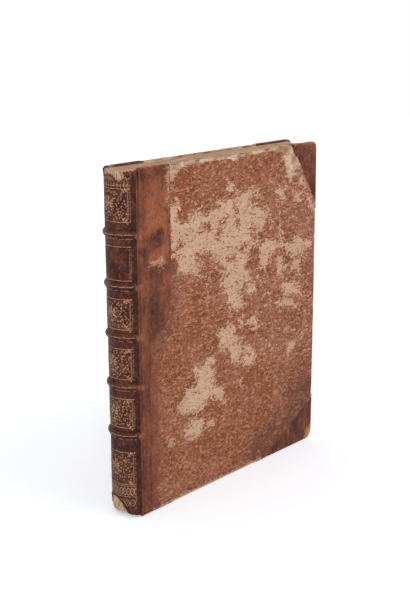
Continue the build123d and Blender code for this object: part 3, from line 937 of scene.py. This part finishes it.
def joint_leather(side):
    """The skin over a joint and its strip on the board, turned in at the head and the tail."""
    seed = STRIP_SEEDS[side]
    thick = 0.55
    columns = np.concatenate([np.arange(RIDGE_X, 3.0, 0.36), np.arange(3.0, STRIP_WIDTH - 3.0, 1.15),
                              np.linspace(STRIP_WIDTH - 3.0, STRIP_WIDTH, 6)])
    path, inner_path = leather_edge(thick)
    first, last = TAIL + EDGE_RADIUS, HEAD - EDGE_RADIUS
    face = np.linspace(first, last, 250)[:, None] + 0 * columns
    top = joint_height(columns + 0 * face, face, seed)
    under = top - np.minimum(thick, np.maximum(top - BOARD_OUT - 0.03, 0.12))
    fray = 0.9 * wander(columns, 1.4, seed + 3)
    frayed = smooth(14, 0, face - first) * (-0.9 + 0.3 * fray)
    frayed = frayed + smooth(14, 0, last - face) * (0.3 + 0.8 * fray)
    face = face + smooth(0.6, -1.0, columns) * frayed
    pared = (1 - smooth(STRIP_WIDTH, STRIP_WIDTH - 3.0, columns)) * 0.35

    def turned_in(line, middle, pared):
        """Rows of heights and levels from the tail's turn-in over the face to the head's."""
        out, level = (field[:, None] + 0 * columns for field in line.T)
        out = out - pared * (out > 0)
        level = level - pared * (level > BOARD_OUT - 1)
        return (np.concatenate([BOARD_TAIL - out[::-1], face, BOARD_HEAD + out]),
                np.concatenate([level[::-1], middle, level]))

    z, h = turned_in(path, top, pared)
    inner_z, inner_h = turned_in(inner_path, under, 0.0)
    z = np.clip(z, TAIL + 0.02, HEAD - 0.02)
    x = columns + 0 * z
    outer = stacked(x, side * h, z)
    inner = stacked(x, side * inner_h, np.clip(inner_z, TAIL + 0.04, HEAD - 0.04))
    keep = np.ones((len(z) - 1, len(columns) - 1), bool)
    for rows in (slice(None, len(path)), slice(-len(path), None)):
        keep[rows, columns[:-1] < 0.5] = False

    cloud = clouds(outer, (10, 10, 20), 3, seed + 20)
    streak = clouds(outer, (3, 3, 26), 3, seed + 22)
    patchy = clouds(outer, 5, 4, seed + 24)
    grit = clouds(outer, 1.7, 2, seed + 26)
    lump = hump(x, -1.2, 1.9) * smooth(3.6, 1.0, band_distance(z, 1.6))
    if side == FRONT:
        high = smooth(209, 221, z + 6 * cloud)
        tone = 0.36 + 0.47 * high + 0.06 * smooth(160, 140, z)
        tone = tone + (0.14 + 0.06 * high) * cloud + 0.10 * streak
        tone = tone + 0.24 * smooth(19, 28, x + 4 * cloud) * (1 - high)
        tone = tone - 0.34 * smooth(11, 3, x) * high - 0.26 * smooth(272, 284, z + 5 * cloud)
        tone = tone + 0.08 * smooth(9.5, 6.5, x) * smooth(148, 162, z) * smooth(220, 208, z)
        tone = tone - 0.10 * smooth(8, 10, x) * smooth(146, 156, z)
        tone = tone - 0.38 * smooth(-4.0, 1.5, inside_distance(x, z, BLOTCH) + 2.2 * patchy)
        # The dark line in the joint's crack is painted shade.
        crack_shadow = hump(x, -3.3, 0.35) * smooth(234, 240, z) * smooth(268, 262, z)
        flake = union_distance(x, z, STRIP_FLAKES) + 0.2 + 1.8 * patchy
        flake = np.maximum(flake, WHOLE + 4.4 * smooth(-6, 4, union_distance(x, z, STRIP_FLECKED)))
    else:
        tone = 0.22 + 0.32 * cloud + 0.14 * streak
        crack_shadow = hump(x, -3.3, 0.35) * smooth(262, 272, z)
        flake = WHOLE
    board_edge_wear = hump(x, 0.5, 0.9) * (0.45 + 0.55 * smooth(225, 240, z))
    end_wear = (0.5 if side == FRONT else 0.2) * smooth(1.6, 0.2, np.minimum(z - TAIL, HEAD - z))
    rub = 0.62 * lump * (0.8 + patchy) + 0.42 * board_edge_wear * (0.7 + streak) + end_wear
    rub = rub + 0.36 * hump(x, -3.7, 0.45) * (0.7 + streak) + 0.14 * smooth(0.2, 0.9, cloud)
    rub = rub + 0.26 * smooth(STRIP_WIDTH - 1.6, STRIP_WIDTH, x)
    rub = np.minimum(rub, 0.46) + lump * (0.30 * smooth(0.0, -0.6, grit) - 0.26 * smooth(0.0, 0.6, grit))
    # Painted shade in the gully along the joint, less on the band ends, and a dark line of painted shade
    # in the crack.
    shade = (0.42 + 0.18 * smooth(225, 240, z)) * hump(x, -1.9, 1.0) * (1 - 0.9 * lump) + 0.8 * crack_shadow
    # Painted shadow in flecks along the strip's edge, under the leather where it lifts.
    lifted_edge_shadow = smooth(STRIP_WIDTH - 4.2, STRIP_WIDTH - 2.2, x + 1.2 * patchy) * smooth(200, 216, z)
    shade = shade + 0.75 * lifted_edge_shadow * smooth(-0.2, 0.4, grit)
    skin = new_object(SIDE_NAMES[side] + "_joint_leather", *shell_parts(
        outer, inner, keep, tone=np.clip(tone + 0.34 * lump, 0, 1), rub=rub,
        shade=np.clip(shade, 0, 0.9), flake=flake))
    across_joint(skin, side)
    dress(skin, SIDE_LEATHER_FINISH, SIDE_NAMES[side] + "_leather_side")


# The leather corners

CORNERS = {                # side, at the head, leg along the edge, leg up the fore-edge, lap
    "front_head_corner": (FRONT, True, 36.0, 60.0, 1.0),
    "front_tail_corner": (FRONT, False, 78.0, 40.0, LAP),
    "back_head_corner": (BACK, True, 48.0, 56.0, LAP),
    "back_tail_corner": (BACK, False, 58.0, 50.0, LAP),
}


def corner_piece(name, side, at_head, along, up, lap):
    """A three-cornered piece of leather, turned in over both edges of the board."""
    seed = 3.0 + 2.0 * side + (5.0 if at_head else 0.0)
    thick = 0.5
    length = math.hypot(along, up)
    board_z = BOARD_HEAD if at_head else BOARD_TAIL
    inward = -1 if at_head else 1
    fore_z = board_z + inward * (up + lap * length / along)
    foot = (BOARD_END - along - lap * length / up, board_z)
    fore = (fore_edge_x(fore_z), fore_z)
    first, last = (np.array(end) for end in ((foot, fore) if at_head else (fore, foot)))
    outline, normals = board_outline(0.9)
    chosen = (outline[:, 0] > foot[0]) & ((outline[:, 1] - fore_z) * inward < 0)
    edge = outline[chosen]
    normal = normals[chosen]
    lengths = np.concatenate([[0], np.cumsum(np.linalg.norm(np.diff(edge, axis=0), axis=1))])
    share = (lengths / lengths[-1])[:, None]
    chord = first * (1 - share) + last * share

    face_rows = 34
    t = (np.arange(face_rows) / face_rows)[:, None, None]
    flat = chord * (1 - t) + (edge + normal * (LEATHER - EDGE_RADIUS)) * t
    x, z = flat[..., 0], flat[..., 1]
    relief = 0.13 * np.clip(clouds(stacked(x, z, seed), 7, 3, seed), -1, 0.3)
    pared = 0.30 * smooth(3.0, 0.0, np.linalg.norm(chord - flat, axis=-1))
    level = SKIN_OUT + relief - pared
    to_cut = chord - edge
    room = np.linalg.norm(to_cut, axis=1, keepdims=True)
    to_cut = to_cut / np.maximum(room, 1e-6)

    def turned(path, nicks):
        """Rows of points over the edge and back along the inner face."""
        out = path[:, :1, None]
        over = edge + normal * (out + nicks * (out > 0))
        back = edge + to_cut * np.minimum(-out, room * 0.96)
        place = np.where(out >= -EDGE_RADIUS, over, back)
        return stacked(place[..., 0], side * path[:, 1:], place[..., 1])

    path, inner_path = leather_edge(thick)
    nicks = 0.22 * np.clip(wander(lengths, 2.4, seed), -1, 0)[:, None]
    outer = np.concatenate([stacked(x, side * level, z), turned(path, nicks)])
    under = np.maximum(level - thick, BOARD_OUT + 0.03)
    inner = np.concatenate([stacked(x, side * under, z), turned(inner_path, 0.0)])
    to_edge = np.concatenate([np.linalg.norm(edge - flat, axis=-1), np.zeros((len(path), len(edge)))])

    cloud = clouds(outer, 11, 3, seed + 4)
    patchy = clouds(outer, 5, 4, seed + 9)
    streak = clouds(outer, (3.5, 9, 14), 3, seed + 14)
    grit = clouds(outer, (2.2, 2.2, 3.4), 3, seed + 17)
    tip = np.hypot(outer[..., 0] - BOARD_END, outer[..., 2] - board_z)
    rub = 0.46 * smooth(2.2, 0.2, to_edge) * (0.8 + patchy)
    rub = rub + (0.44 if at_head else 0.85) * smooth(17, 8, tip + 5 * patchy)
    # The light flecks of the patchy and grit terms are painted highlights; the rest of rub is wear at
    # the edges and the tip.
    rub = rub + 0.16 * smooth(0, 0.7, patchy) + 0.30 * smooth(0.0, 0.8, grit)
    if side == BACK:
        rub = rub * 0.4
    tone = (0.38 if at_head and side == FRONT else 0.31) + 0.22 * cloud + 0.20 * streak
    shade = 0.05 + (0.16 if at_head else 0.12) * smooth(0.0, 0.7, -cloud)
    # Painted shade along the cut edge of a head corner, where the paper meets the leather.
    if at_head:
        cut = (last - first) / math.dist(first, last)
        from_cut = (outer[..., 0] - first[0]) * cut[1] - (outer[..., 2] - first[1]) * cut[0]
        shade = shade + 0.4 * smooth(3.0, 1.2, np.abs(from_cut))
    piece = new_object(name + "_leather", *shell_parts(
        outer, inner, tone=np.clip(tone, 0, 1), rub=rub, shade=shade * smooth(3, 13, tip), flake=WHOLE))
    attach(piece, SIDE_NAMES[side] + "_cover")
    dress(piece, SIDE_LEATHER_FINISH, name)


# The paper sides. Outlines give X from the joint line and height above the tail.

FRONT_PATCHES = [
    [(33, 256), (43, 257), (47, 252), (41, 248), (40, 244), (48, 240), (57, 239), (58, 243),
     (64, 247), (67, 250), (69, 244), (75, 242), (83, 242), (89, 244), (91, 248), (97, 250),
     (105, 253), (110, 252), (113, 249), (119, 251), (121, 256), (133, 256), (146, 256),
     (145, 252), (136, 250), (134, 246), (139, 243), (147, 239), (157, 237), (163, 235),
     (162, 231), (157, 228), (157, 224), (155, 220), (149, 215), (148, 207), (139, 208),
     (136, 201), (131, 196), (128, 189), (131, 184), (137, 181), (136, 175), (128, 175),
     (125, 168), (125, 154), (120, 154), (113, 151), (107, 164), (107, 170), (97, 180),
     (101, 186), (105, 192), (101, 197), (91, 201), (86, 207), (82, 212), (75, 214), (69, 212),
     (62, 207), (69, 200), (72, 192), (65, 194), (61, 198), (51, 199), (45, 200), (43, 208),
     (40, 215), (37, 223), (35, 229), (36, 237), (33, 245)],
    [(153, 207), (163, 209), (169, 207), (179, 204), (180, 213), (179, 221), (182, 221),
     (182, 204), (187, 202), (197, 201), (208, 205), (211, 202), (216, 194), (216, 188),
     (208, 186), (198, 186), (193, 192), (184, 199), (176, 199), (168, 197), (165, 191),
     (158, 183), (153, 188), (151, 199)],
    [(219, 198), (227, 199), (228, 192), (221, 193)],
    [(177, 189), (182, 188), (187, 181), (193, 180), (190, 178), (179, 178), (184, 175),
     (177, 175)],
    [(201, 184), (209, 186), (211, 175), (213, 167), (208, 168), (205, 173), (198, 173),
     (200, 180)],
    [(136, 172), (145, 172), (144, 165), (137, 164), (133, 168)],
    [(182, 162), (193, 165), (203, 162), (209, 156), (213, 150), (195, 150), (187, 154)],
    [(177, 254), (185, 252), (185, 242), (179, 244), (174, 250)],
    [(200, 247), (208, 244), (208, 239), (202, 240)],
    [(207, 262), (214, 260), (216, 252), (211, 253)],
    [(224, 239), (233, 231), (233, 226), (225, 230)],
    [(185, 292), (203, 292), (209, 274), (203, 268), (195, 259), (190, 264), (186, 274)],
    [(32, 290), (52, 290), (45, 285), (40, 282), (36, 276), (34, 268), (33, 270)],
    [(113, 290), (121, 290), (118, 283)],
    [(107, 266), (115, 268), (113, 260), (107, 260)],
    [(96, 137), (104, 140), (107, 143), (116, 140), (116, 132), (117, 126), (129, 125),
     (125, 121), (128, 117), (137, 118), (139, 114), (146, 104), (144, 100), (136, 97),
     (131, 104), (121, 106), (113, 108), (109, 119), (101, 121), (97, 129)],
    [(121, 144), (128, 145), (127, 137), (123, 138)],
    [(134, 137), (142, 141), (147, 140), (150, 131), (145, 132), (141, 134)],
    [(173, 148), (195, 149), (208, 139), (190, 143)],
    [(81, 118), (89, 116), (88, 112), (83, 110), (88, 104), (88, 89), (99, 86), (101, 73),
     (97, 72), (88, 80), (78, 81), (73, 75), (64, 72), (56, 76), (46, 77), (43, 84), (51, 94),
     (62, 96), (69, 102), (64, 111), (77, 113)],
    [(49, 60), (59, 63), (58, 68), (64, 68), (72, 65), (73, 56), (69, 52), (59, 51), (51, 56)],
    [(81, 60), (89, 57), (83, 54)],
    [(121, 89), (126, 88), (125, 84)],
    [(28, 58), (31, 57), (35, 52), (30, 54)],
    [(193, 104), (201, 105), (206, 108), (205, 101), (198, 98), (195, 93)],
]
FRONT_ISLANDS = [
    [(73, 237), (82, 236), (85, 229), (80, 228), (75, 232)],
    [(46, 227), (51, 226), (50, 219), (44, 220)],
    [(94, 236), (99, 235), (97, 226), (96, 219), (90, 220), (91, 226)],
    [(99, 236), (106, 239), (102, 231), (100, 223), (97, 225)],
    [(117, 235), (121, 234), (121, 228), (127, 226), (126, 224), (118, 224)],
    [(109, 249), (117, 248), (123, 243), (119, 241), (112, 245)],
    [(121, 207), (134, 213), (136, 210), (128, 204), (121, 203)],
    [(106, 203), (115, 204), (119, 199), (110, 197)],
    [(139, 220), (145, 225), (147, 213), (142, 205), (139, 212)],
    [(158, 229), (163, 230), (170, 227), (171, 220), (162, 218), (157, 221)],
    [(125, 114), (129, 114), (128, 108), (125, 109)],
    [(134, 110), (138, 110), (138, 104), (134, 105)],
]
FRONT_FLECKED = [
    [(160, 262), (226, 262), (232, 130), (212, 92), (140, 96), (150, 150), (132, 176)],
    [(36, 262), (150, 262), (150, 150), (100, 150), (60, 186), (36, 196)],
    [(84, 90), (102, 88), (100, 70), (84, 72)],
    [(205, 266), (224, 240), (234, 238), (234, 222), (200, 236)],
    [(38, 180), (52, 180), (50, 170), (40, 170)],
    [(148, 124), (164, 124), (164, 112), (150, 112)],
    [(20, 92), (34, 92), (34, 84), (20, 84)],
    [(12, 30), (22, 28), (22, 2), (12, 2)],
]
FRONT_SPECKLED = [
    [(180, 150), (236, 150), (236, 88), (205, 82), (186, 100)],
    [(36, 262), (52, 256), (44, 240), (36, 236)],
    [(160, 236), (184, 240), (184, 200), (160, 206)],
    [(200, 262), (220, 262), (228, 238), (206, 236)],
    [(12, 28), (20, 28), (20, 14), (13, 14)],
]
FRONT_LEFT = [(0, 8.0), (138, 8.4), (146, 10.0), (154, 17), (160, 26), (166, 31), (178, 33),
              (202, 34), (231, 34.5), (262, 32.6), (275, 32.2), (290, 34.0)]
FRONT_TOP = [(0, 3.2), (33, 5.5), (44, 4.4), (56, 3.0), (80, 2.2), (110, 3.2), (114, 6.0),
             (121, 3.2), (140, 2.5), (168, 2.2), (184, 5.0), (188, 18), (193, 28), (199, 19),
             (204, 9.0), (236, 6.0)]
FRONT_WEAR = (FRONT_PATCHES, FRONT_ISLANDS, FRONT_FLECKED, FRONT_SPECKLED)
# The back board isn't in view: it is given the same kind of wear, turned half round and lighter
BACK_WEAR = tuple([[(262 - x, 292 - z) for x, z in outline] for outline in outlines]
                  for outlines in FRONT_WEAR)
PAPER_SIDES = {            # legs of the head and tail corner, left edge, top edge, wear
    FRONT: ((36.0, 56.0), (78.0, 40.0), FRONT_LEFT, FRONT_TOP, FRONT_WEAR),
    BACK: ((48.0, 56.0), (58.0, 50.0), [(0, 8.0), (290, 8.0)], [(0, 1.6), (236, 1.6)], BACK_WEAR),
}
FRONT_STAIN = [(132, -9), (240, -9), (240, 68), (206, 56), (186, 42), (160, 36), (144, 20)]
FRONT_FADE = [(4, 205), (38, 206), (40, 168), (30, 150), (6, 136)]


def wear_field(x, z, wear, spared, seed):
    """How far a point lies inside rubbed-through paper, in millimetres, with ragged edges."""
    patches, islands, flecked, speckled = wear
    unworn = -8.5
    distance = union_distance(x, z, patches) - spared
    distance = np.minimum(distance, -union_distance(x, z, islands) - 0.4)
    base = np.clip(1.2 * distance + 0.7, unworn, 4.6)
    base = np.maximum(base, unworn + 4.4 * smooth(-8, 8, union_distance(x, z, flecked)))
    base = np.maximum(base, unworn + 5.4 * smooth(-6, 6, union_distance(x, z, speckled)))
    points = stacked(x, z, seed)
    large = clouds(points, (8, 5.5, 8), 4, seed)
    return base + 1.6 * large + 1.5 * clouds(points, (3.6, 2.2, 3.6), 3, seed + 40)


def paper_side(side):
    """Mottled paper over a board, turned in along the tail and the fore-edge."""
    (head_along, head_up), (tail_along, tail_up), left, top, wear = PAPER_SIDES[side]
    seed = 11.0 if side == FRONT else 17.0
    fold = 0.9                 # radius of the paper where it goes round the board's edge
    columns = 190
    rows = 236
    share = np.linspace(0, 1, columns)
    level = np.linspace(0, 1, rows)[:, None]
    z0 = TAIL + 0.6 + (HEAD - TAIL - 1.2) * level
    start = np.interp(z0, *zip(*left)) + 1.3 * wander(z0, 8, seed) + 0.5 * wander(z0, 2, seed + 1)
    x = start + (fore_edge_x(z0) + SHEET - fold - start) * share
    head_foot = BOARD_END - head_along
    tail_foot = BOARD_END - tail_along
    along = np.linspace(0, 240, 480)
    ragged = 0.7 * wander(along, 5, seed + 2) + 0.45 * wander(along, 1.7, seed + 3)
    ragged = np.interp(x, along, ragged)
    head_line = BOARD_HEAD - np.maximum(x - head_foot, 0) * head_up / head_along + 0.3 * ragged
    head_line = np.where(x > head_foot, head_line, HEAD)
    high = np.minimum(BOARD_HEAD - np.interp(x, *zip(*top)) + ragged, head_line)
    tail_line = BOARD_TAIL + np.maximum(x - tail_foot, 0) * tail_up / tail_along
    low = np.where(x > tail_foot, tail_line, BOARD_TAIL - SHEET + fold)
    z = low + (high - low) * level
    # the fore-edge is bowed, so the last column follows it at its own height
    x = x + (fore_edge_x(z) - fore_edge_x(z0)) * share

    bare = wear_field(x, z, wear, 0.0 if side == FRONT else 2.4, seed)
    over_strip = smooth(STRIP_WIDTH + 0.7, STRIP_WIDTH - 2.4, x)
    strip_rise = joint_height(np.minimum(x, STRIP_WIDTH), z, STRIP_SEEDS[side]) - BOARD_OUT
    to_head = (head_line - z) * head_along / math.hypot(head_along, head_up)
    to_tail = (z - tail_line) * tail_along / math.hypot(tail_along, tail_up)
    near_corner = np.maximum(smooth(LAP + 1.2, LAP - 1.8, to_head) * (x > head_foot - 8),
                             smooth(LAP + 1.2, LAP - 1.8, to_tail) * (x > tail_foot - 8))
    points = stacked(x, z, seed)
    cockle = 0.10 * clouds(points, (30, 22, 30), 2, seed + 5) + 0.035 * clouds(points, 3.0, 2, seed + 6)
    edge = np.minimum(high - z, x - start)
    sheet = SHEET + np.clip(cockle, -0.05, 0.09) - 0.13 * smooth(-0.4, 0.6, bare)
    sheet = np.maximum(sheet - 0.10 * smooth(1.0, 0.0, edge), 0.06)
    lower = BOARD_OUT + 0.02 + strip_rise * over_strip + 0.45 * near_corner
    upper = lower + sheet

    path = edge_path(BOARD_OUT + SHEET, SHEET, fold, BOARD_IN - SHEET, TURN_IN)
    inner_path = edge_path(BOARD_OUT + 0.03, 0.04, 0.7, BOARD_IN - 0.04, TURN_IN)
    extra = len(path)
    total = (rows + extra, columns + extra)
    eased = (upper[:, -1:] - BOARD_OUT - SHEET) * (np.arange(extra) < 3)

    def turned_in(face, line, lift):
        """The grid of a face with its turn-ins at the fore-edge and the tail."""
        grid = np.zeros((*total, 3))
        out, height = line.T
        grid[extra:, :columns] = stacked(x, side * face, z)
        grid[extra:, columns:] = stacked(fore_edge_x(z[:, -1:]) + out, side * (height + lift), z[:, -1:])
        grid[:extra, :columns] = stacked(x[0], side * height[::-1, None], BOARD_TAIL - out[::-1, None])
        return grid

    outer = turned_in(upper, path, eased)
    inner = turned_in(lower, inner_path, 0.0)
    keep = np.ones((total[0] - 1, total[1] - 1), bool)
    no_wrap = (x[0] < STRIP_WIDTH + 1) | (x[0] > tail_foot - 1)
    keep[:extra, :columns - 1] = ~(no_wrap[:-1] | no_wrap[1:])
    keep[:extra, columns - 1:] = False

    def spread(values, fore, tail):
        """A field on the outer face, carried on over the turn-ins with given values."""
        grid = np.zeros(total)
        grid[extra:, :columns] = values
        grid[extra:, columns:] = fore
        grid[:extra, :columns] = tail
        return grid

    cloud = clouds(points, (9, 16, 9), 3, seed + 60)
    chips = clouds(points, (4, 7, 4), 3, seed + 70)
    to_fore = fore_edge_x(z) - x
    along_tail = smooth(4.4, 1.4, np.where(x < tail_foot, z - TAIL, 99)) * (0.85 + 0.5 * chips)
    rub = np.maximum(along_tail, 0.95 * smooth(3.6, 1.0, to_fore) * smooth(0.0, 0.5, chips))
    rub = rub + 0.20 * smooth(0.9, 0.0, edge) + 0.25 * hump(x, STRIP_WIDTH, 0.8) * (start < 20)
    if side == FRONT:
        stain = inside_distance(x, z, FRONT_STAIN)
        fade = inside_distance(x, z, FRONT_FADE)
        soil = 0.60 * smooth(-14, 12, stain + 12 * cloud) + 0.35 * smooth(3.0, 0.8, to_fore)
        soil = soil + 0.16 * smooth(120, 40, z) * smooth(150, 225, x)
        soil = soil + 0.20 * smooth(18, 0, z) + 0.12 * smooth(236, 180, x) * smooth(150, 236, x)
        soil = soil + 0.25 * smooth(-8, 2, fade)
        smear = np.maximum(0.85 * smooth(27, 9, x + 6 * cloud) * smooth(180, 150, z),
                           0.35 * smooth(-9, 2, fade + 4 * cloud))
    else:
        soil = 0.16 + 0.25 * smooth(24, 0, z)
        smear = 0.75 * smooth(24, 8, x + 6 * cloud)
    name = SIDE_NAMES[side] + "_paper_side"
    piece = new_object(name + "_sheet", *shell_parts(
        outer, inner, keep, bare=spread(bare, -6.0, -6.0), soil=spread(np.clip(soil, 0, 1), 0.25, 0.3),
        rub=spread(rub, 0.5, 0.6), smear=spread(smear, 0.0, 0.2)))
    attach(piece, SIDE_NAMES[side] + "_cover")
    dress(piece, PAPER_FINISH, name)


def board_edge(side):
    """Bare head edge of a board: pasted sheets that have split and frayed."""
    seed = 50.0 + side
    x = np.arange(STRIP_WIDTH - 4, BOARD_END - PAPER_SIDES[side][0][0] + 1, 0.8)
    layers = 6
    thickness = BOARD_OUT - BOARD_IN
    rings = []                 # height and distance from the middle of the book, along the edge
    for z in np.linspace(BOARD_HEAD - 8.0, BOARD_HEAD - 0.5, 9):
        rings.append((z, BOARD_OUT + 0.05 + 0.05 * clouds(stacked(x, z, seed), 3, 3, seed)))
    for layer in range(layers):
        height = 0.34 * wander(x, 9, seed + layer) + 0.30 * wander(x, 2.2, seed + 20 + layer)
        height = BOARD_HEAD + 0.05 + np.clip(height, -0.9, 0.62)
        splay = 0.16 * (layers / 2 - layer) / layers
        near, far, gap = (BOARD_OUT - thickness * (layer + depth) / layers + splay
                          for depth in (0.12, 0.88, 1.0))
        rings += [(height - 0.12, near + 0.04), (height, near - 0.06), (height - 0.03, far)]
        if layer < layers - 1:
            deep = 0.35 + 0.5 * np.clip(wander(x, 4, seed + 60 + layer), 0, 1)
            rings.append((height - deep, gap))
    rings += [(z, BOARD_IN - 0.03) for z in np.linspace(BOARD_HEAD - 0.4, BOARD_HEAD - 3.0, 4)]
    z, h = (np.stack([ring[n] + 0 * x for ring in rings]) for n in (0, 1))
    middle = (BOARD_OUT + BOARD_IN) / 2
    outer = stacked(x, side * h, np.minimum(z, HEAD - 0.02))
    inner = stacked(x, side * (middle + (h - middle) * 0.8), np.minimum(z - 0.5, BOARD_HEAD - 0.8))
    piece = new_object(SIDE_NAMES[side] + "_board_edge", *shell_parts(outer, inner))
    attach(piece, SIDE_NAMES[side] + "_cover")
    dress(piece, EDGE_FINISH)


# The sewn leaves

GATHERINGS = 22
LEAVES_IN_GATHERING = 8


def block_pages():
    """Every gathering as its own folded bundle, fanned out at the back to form the shoulders."""
    rand = random.Random(8)
    half = math.asin((BOARD_OUT - 0.1) / BLOCK_RADIUS)
    side = BOARD_IN - 1.65
    valley = BLOCK_RADIUS - 0.32
    bend = -0.6                # the leaves begin to fan out here
    levels = np.linspace(-side, side, GATHERINGS + 1)
    turns = np.linspace(half, -half, GATHERINGS + 1)
    across = np.linspace(0, 1, 5)
    parts = []
    for n in range(GATHERINGS):
        head = BLOCK_HIGH.z - rand.uniform(0.0, 0.55)
        tail = BLOCK_LOW.z + rand.uniform(0.0, 0.35)
        fore = BLOCK_HIGH.x - rand.uniform(0.0, 0.5)
        sides = []
        for y, turn in zip(levels[n:n + 2], turns[n:n + 2]):
            back_x = ARC_X - valley * math.cos(turn)
            hollow = 5.0 * (1 - (y / side) ** 2)
            xs = np.concatenate([np.linspace(fore - hollow, 8, 12), np.linspace(3, bend, 4),
                                 np.linspace(bend, back_x, 9)[1:]])
            fan = smooth(0, 1, (bend - xs) / (bend - back_x))
            sides.append(stacked(xs, y + (-valley * math.sin(turn) - y) * fan)[:, None])
        turn = turns[n] * (1 - across) + turns[n + 1] * across
        radius = valley + (BLOCK_RADIUS - valley) * np.sin(math.pi * across) ** 0.7
        fold = stacked(ARC_X - radius * np.cos(turn), -radius * np.sin(turn))
        grid = sides[0] * (1 - across[:, None]) + sides[1] * across[:, None]
        x, y = np.moveaxis(np.concatenate([grid, fold[None]]), -1, 0)
        back = np.zeros(x.shape)
        back[-1] = 1.0
        # Painted shade in the valleys between the gatherings, carried by crease
        crease = np.zeros(x.shape)
        crease[-1, [0, -1]] = 0.6
        parts.append(shell_parts(stacked(x, y, head), stacked(x, y, tail), back=back, crease=crease,
                                 leaf=(across + n) * LEAVES_IN_GATHERING))
    block = new_object("sewn_leaves", *joined(parts), crease=40.0)
    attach(block, "block")
    dress(block, PAGE_FINISH, "text_block")


def hinge_paper(side):
    """Folded paper inside a joint: one leg on the shoulder, one on the board's edge."""
    z = np.linspace(BLOCK_LOW.z + 1, BLOCK_HIGH.z - 1, 60)[:, None]
    deep = BOARD_IN - 1.2
    fold = BOARD_OUT - 0.15

    def sheet(first, last, short, bend):
        """Up one leg, over the bend and down the other. The legs end short of the fold."""
        x, h = np.concatenate([stacked(first, np.linspace(deep, fold - short, 8)),
                               np.array(bend) + (0, fold),
                               stacked(last, np.linspace(fold - short, deep + 0.1, 8))]).T
        return stacked(x, side * h, z)

    outer = sheet(-0.38, 0.1, 0.2, [(-0.26, -0.05), (-0.14, 0.0), (0.0, -0.05)])
    inner = sheet(-0.26, 0.0, 0.35, [(-0.2, -0.22), (-0.14, -0.16), (-0.06, -0.22)])
    piece = new_object(SIDE_NAMES[side] + "_hinge_paper", *shell_parts(outer, inner))
    across_joint(piece, side)
    dress(piece, HINGE_FINISH)


# Stage, light and camera

WORLD_LIGHT = 0.66         # strength of the white surroundings as a lamp
FLOOR_NEAR = 0.33          # what the floor adds for the camera, so that it is white unshaded
FLOOR_FAR = 0.50


def stage():
    """A white floor that keeps the shadow and is white to the camera where nothing shades it."""
    bpy.ops.mesh.primitive_plane_add(size=6.0, location=(0, 0, -0.0002))
    floor = bpy.context.object
    floor.name = "floor"
    g = Graph(bpy.data.materials.new("floor"))
    away = g.node("VectorMath", "Value", {0: g.node("TexCoord", "Object")}, operation="LENGTH")
    glow = g.step(away, 0.3, 1.2, FLOOR_NEAR, FLOOR_FAR, "LINEAR")
    g.fill(g.tree.nodes["Principled BSDF"], {
        "Base Color": (0.80, 0.83, 0.88, 1), "Roughness": 0.9, "Specular IOR Level": 0.1,
        "Emission Color": (1, 1, 1, 1),
        "Emission Strength": g.math("MULTIPLY", g.node("LightPath", "Is Camera Ray"), glow)})
    floor.data.materials.append(g.owner)

    g = Graph(bpy.data.worlds.new("studio"))
    bpy.context.scene.world = g.owner
    seen = 0.0
    for kind in ("Camera", "Glossy", "Transmission"):
        seen = g.math("MAXIMUM", seen, g.node("LightPath", f"Is {kind} Ray"))
    strength = g.step(seen, 0.0, 1.0, WORLD_LIGHT, 1.0, "LINEAR")
    g.fill(g.tree.nodes["Background"], {"Color": (1, 1, 1, 1), "Strength": strength})


def lamp(name, place, power):
    """A soft lamp that points at the middle of the book."""
    data = bpy.data.lights.new(name, "AREA")
    data.size = 2.6
    data.energy = power
    obj = bpy.data.objects.new(name, data)
    bpy.context.scene.collection.objects.link(obj)
    obj.location = place
    obj.rotation_euler = (Vector((0, 0, 0.15)) - Vector(place)).to_track_quat("-Z", "Y").to_euler()


CAMERA_PLACE = (-614.2, -619.4, 408.7)
CAMERA_YAW = -48.886       # degrees from +Y, turned towards +X
CAMERA_PITCH = 14.969      # degrees down
CAMERA_ROLL = -0.263
FOCAL_PIXELS = 1120.0
FRAME_HEIGHT = 615.0


def camera():
    """The photograph's viewpoint."""
    yaw, pitch, roll = (math.radians(a) for a in (CAMERA_YAW, CAMERA_PITCH, CAMERA_ROLL))
    forward = Vector((-math.sin(yaw) * math.cos(pitch), math.cos(yaw) * math.cos(pitch),
                      -math.sin(pitch)))
    right = Vector((math.cos(yaw), math.sin(yaw), 0))
    up = right.cross(forward)
    turned_right = right * math.cos(roll) + up * math.sin(roll)
    turned_up = up * math.cos(roll) - right * math.sin(roll)
    data = bpy.data.cameras.new("camera")
    data.sensor_fit = "VERTICAL"
    data.sensor_height = 36.0
    data.lens = FOCAL_PIXELS / FRAME_HEIGHT * data.sensor_height
    data.clip_start = 0.01
    obj = bpy.data.objects.new("camera", data)
    bpy.context.scene.collection.objects.link(obj)
    turn = Matrix((turned_right, turned_up, -forward)).transposed()
    place = Vector(CAMERA_PLACE) + Vector((JOINT_X, 0, 0))
    obj.matrix_world = Matrix.Translation(place * MM) @ turn.to_4x4()
    bpy.context.scene.camera = obj


def on_both_sides(make):
    for side in (FRONT, BACK):
        make(side)


def build():
    bpy.context.scene.view_settings.view_transform = "Standard"
    camera()
    stage()
    lamp("key", (-4.0, -3.0, 3.6), 125)
    lamp("fill", (1.0, -3.4, 4.2), 34)
    finish_solids()
    spine_skin()
    head_fringe()
    spine_gilding()
    on_both_sides(joint_leather)
    for name, sizes in CORNERS.items():
        corner_piece(name, *sizes)
    on_both_sides(paper_side)
    on_both_sides(board_edge)
    block_pages()
    on_both_sides(hinge_paper)


build()
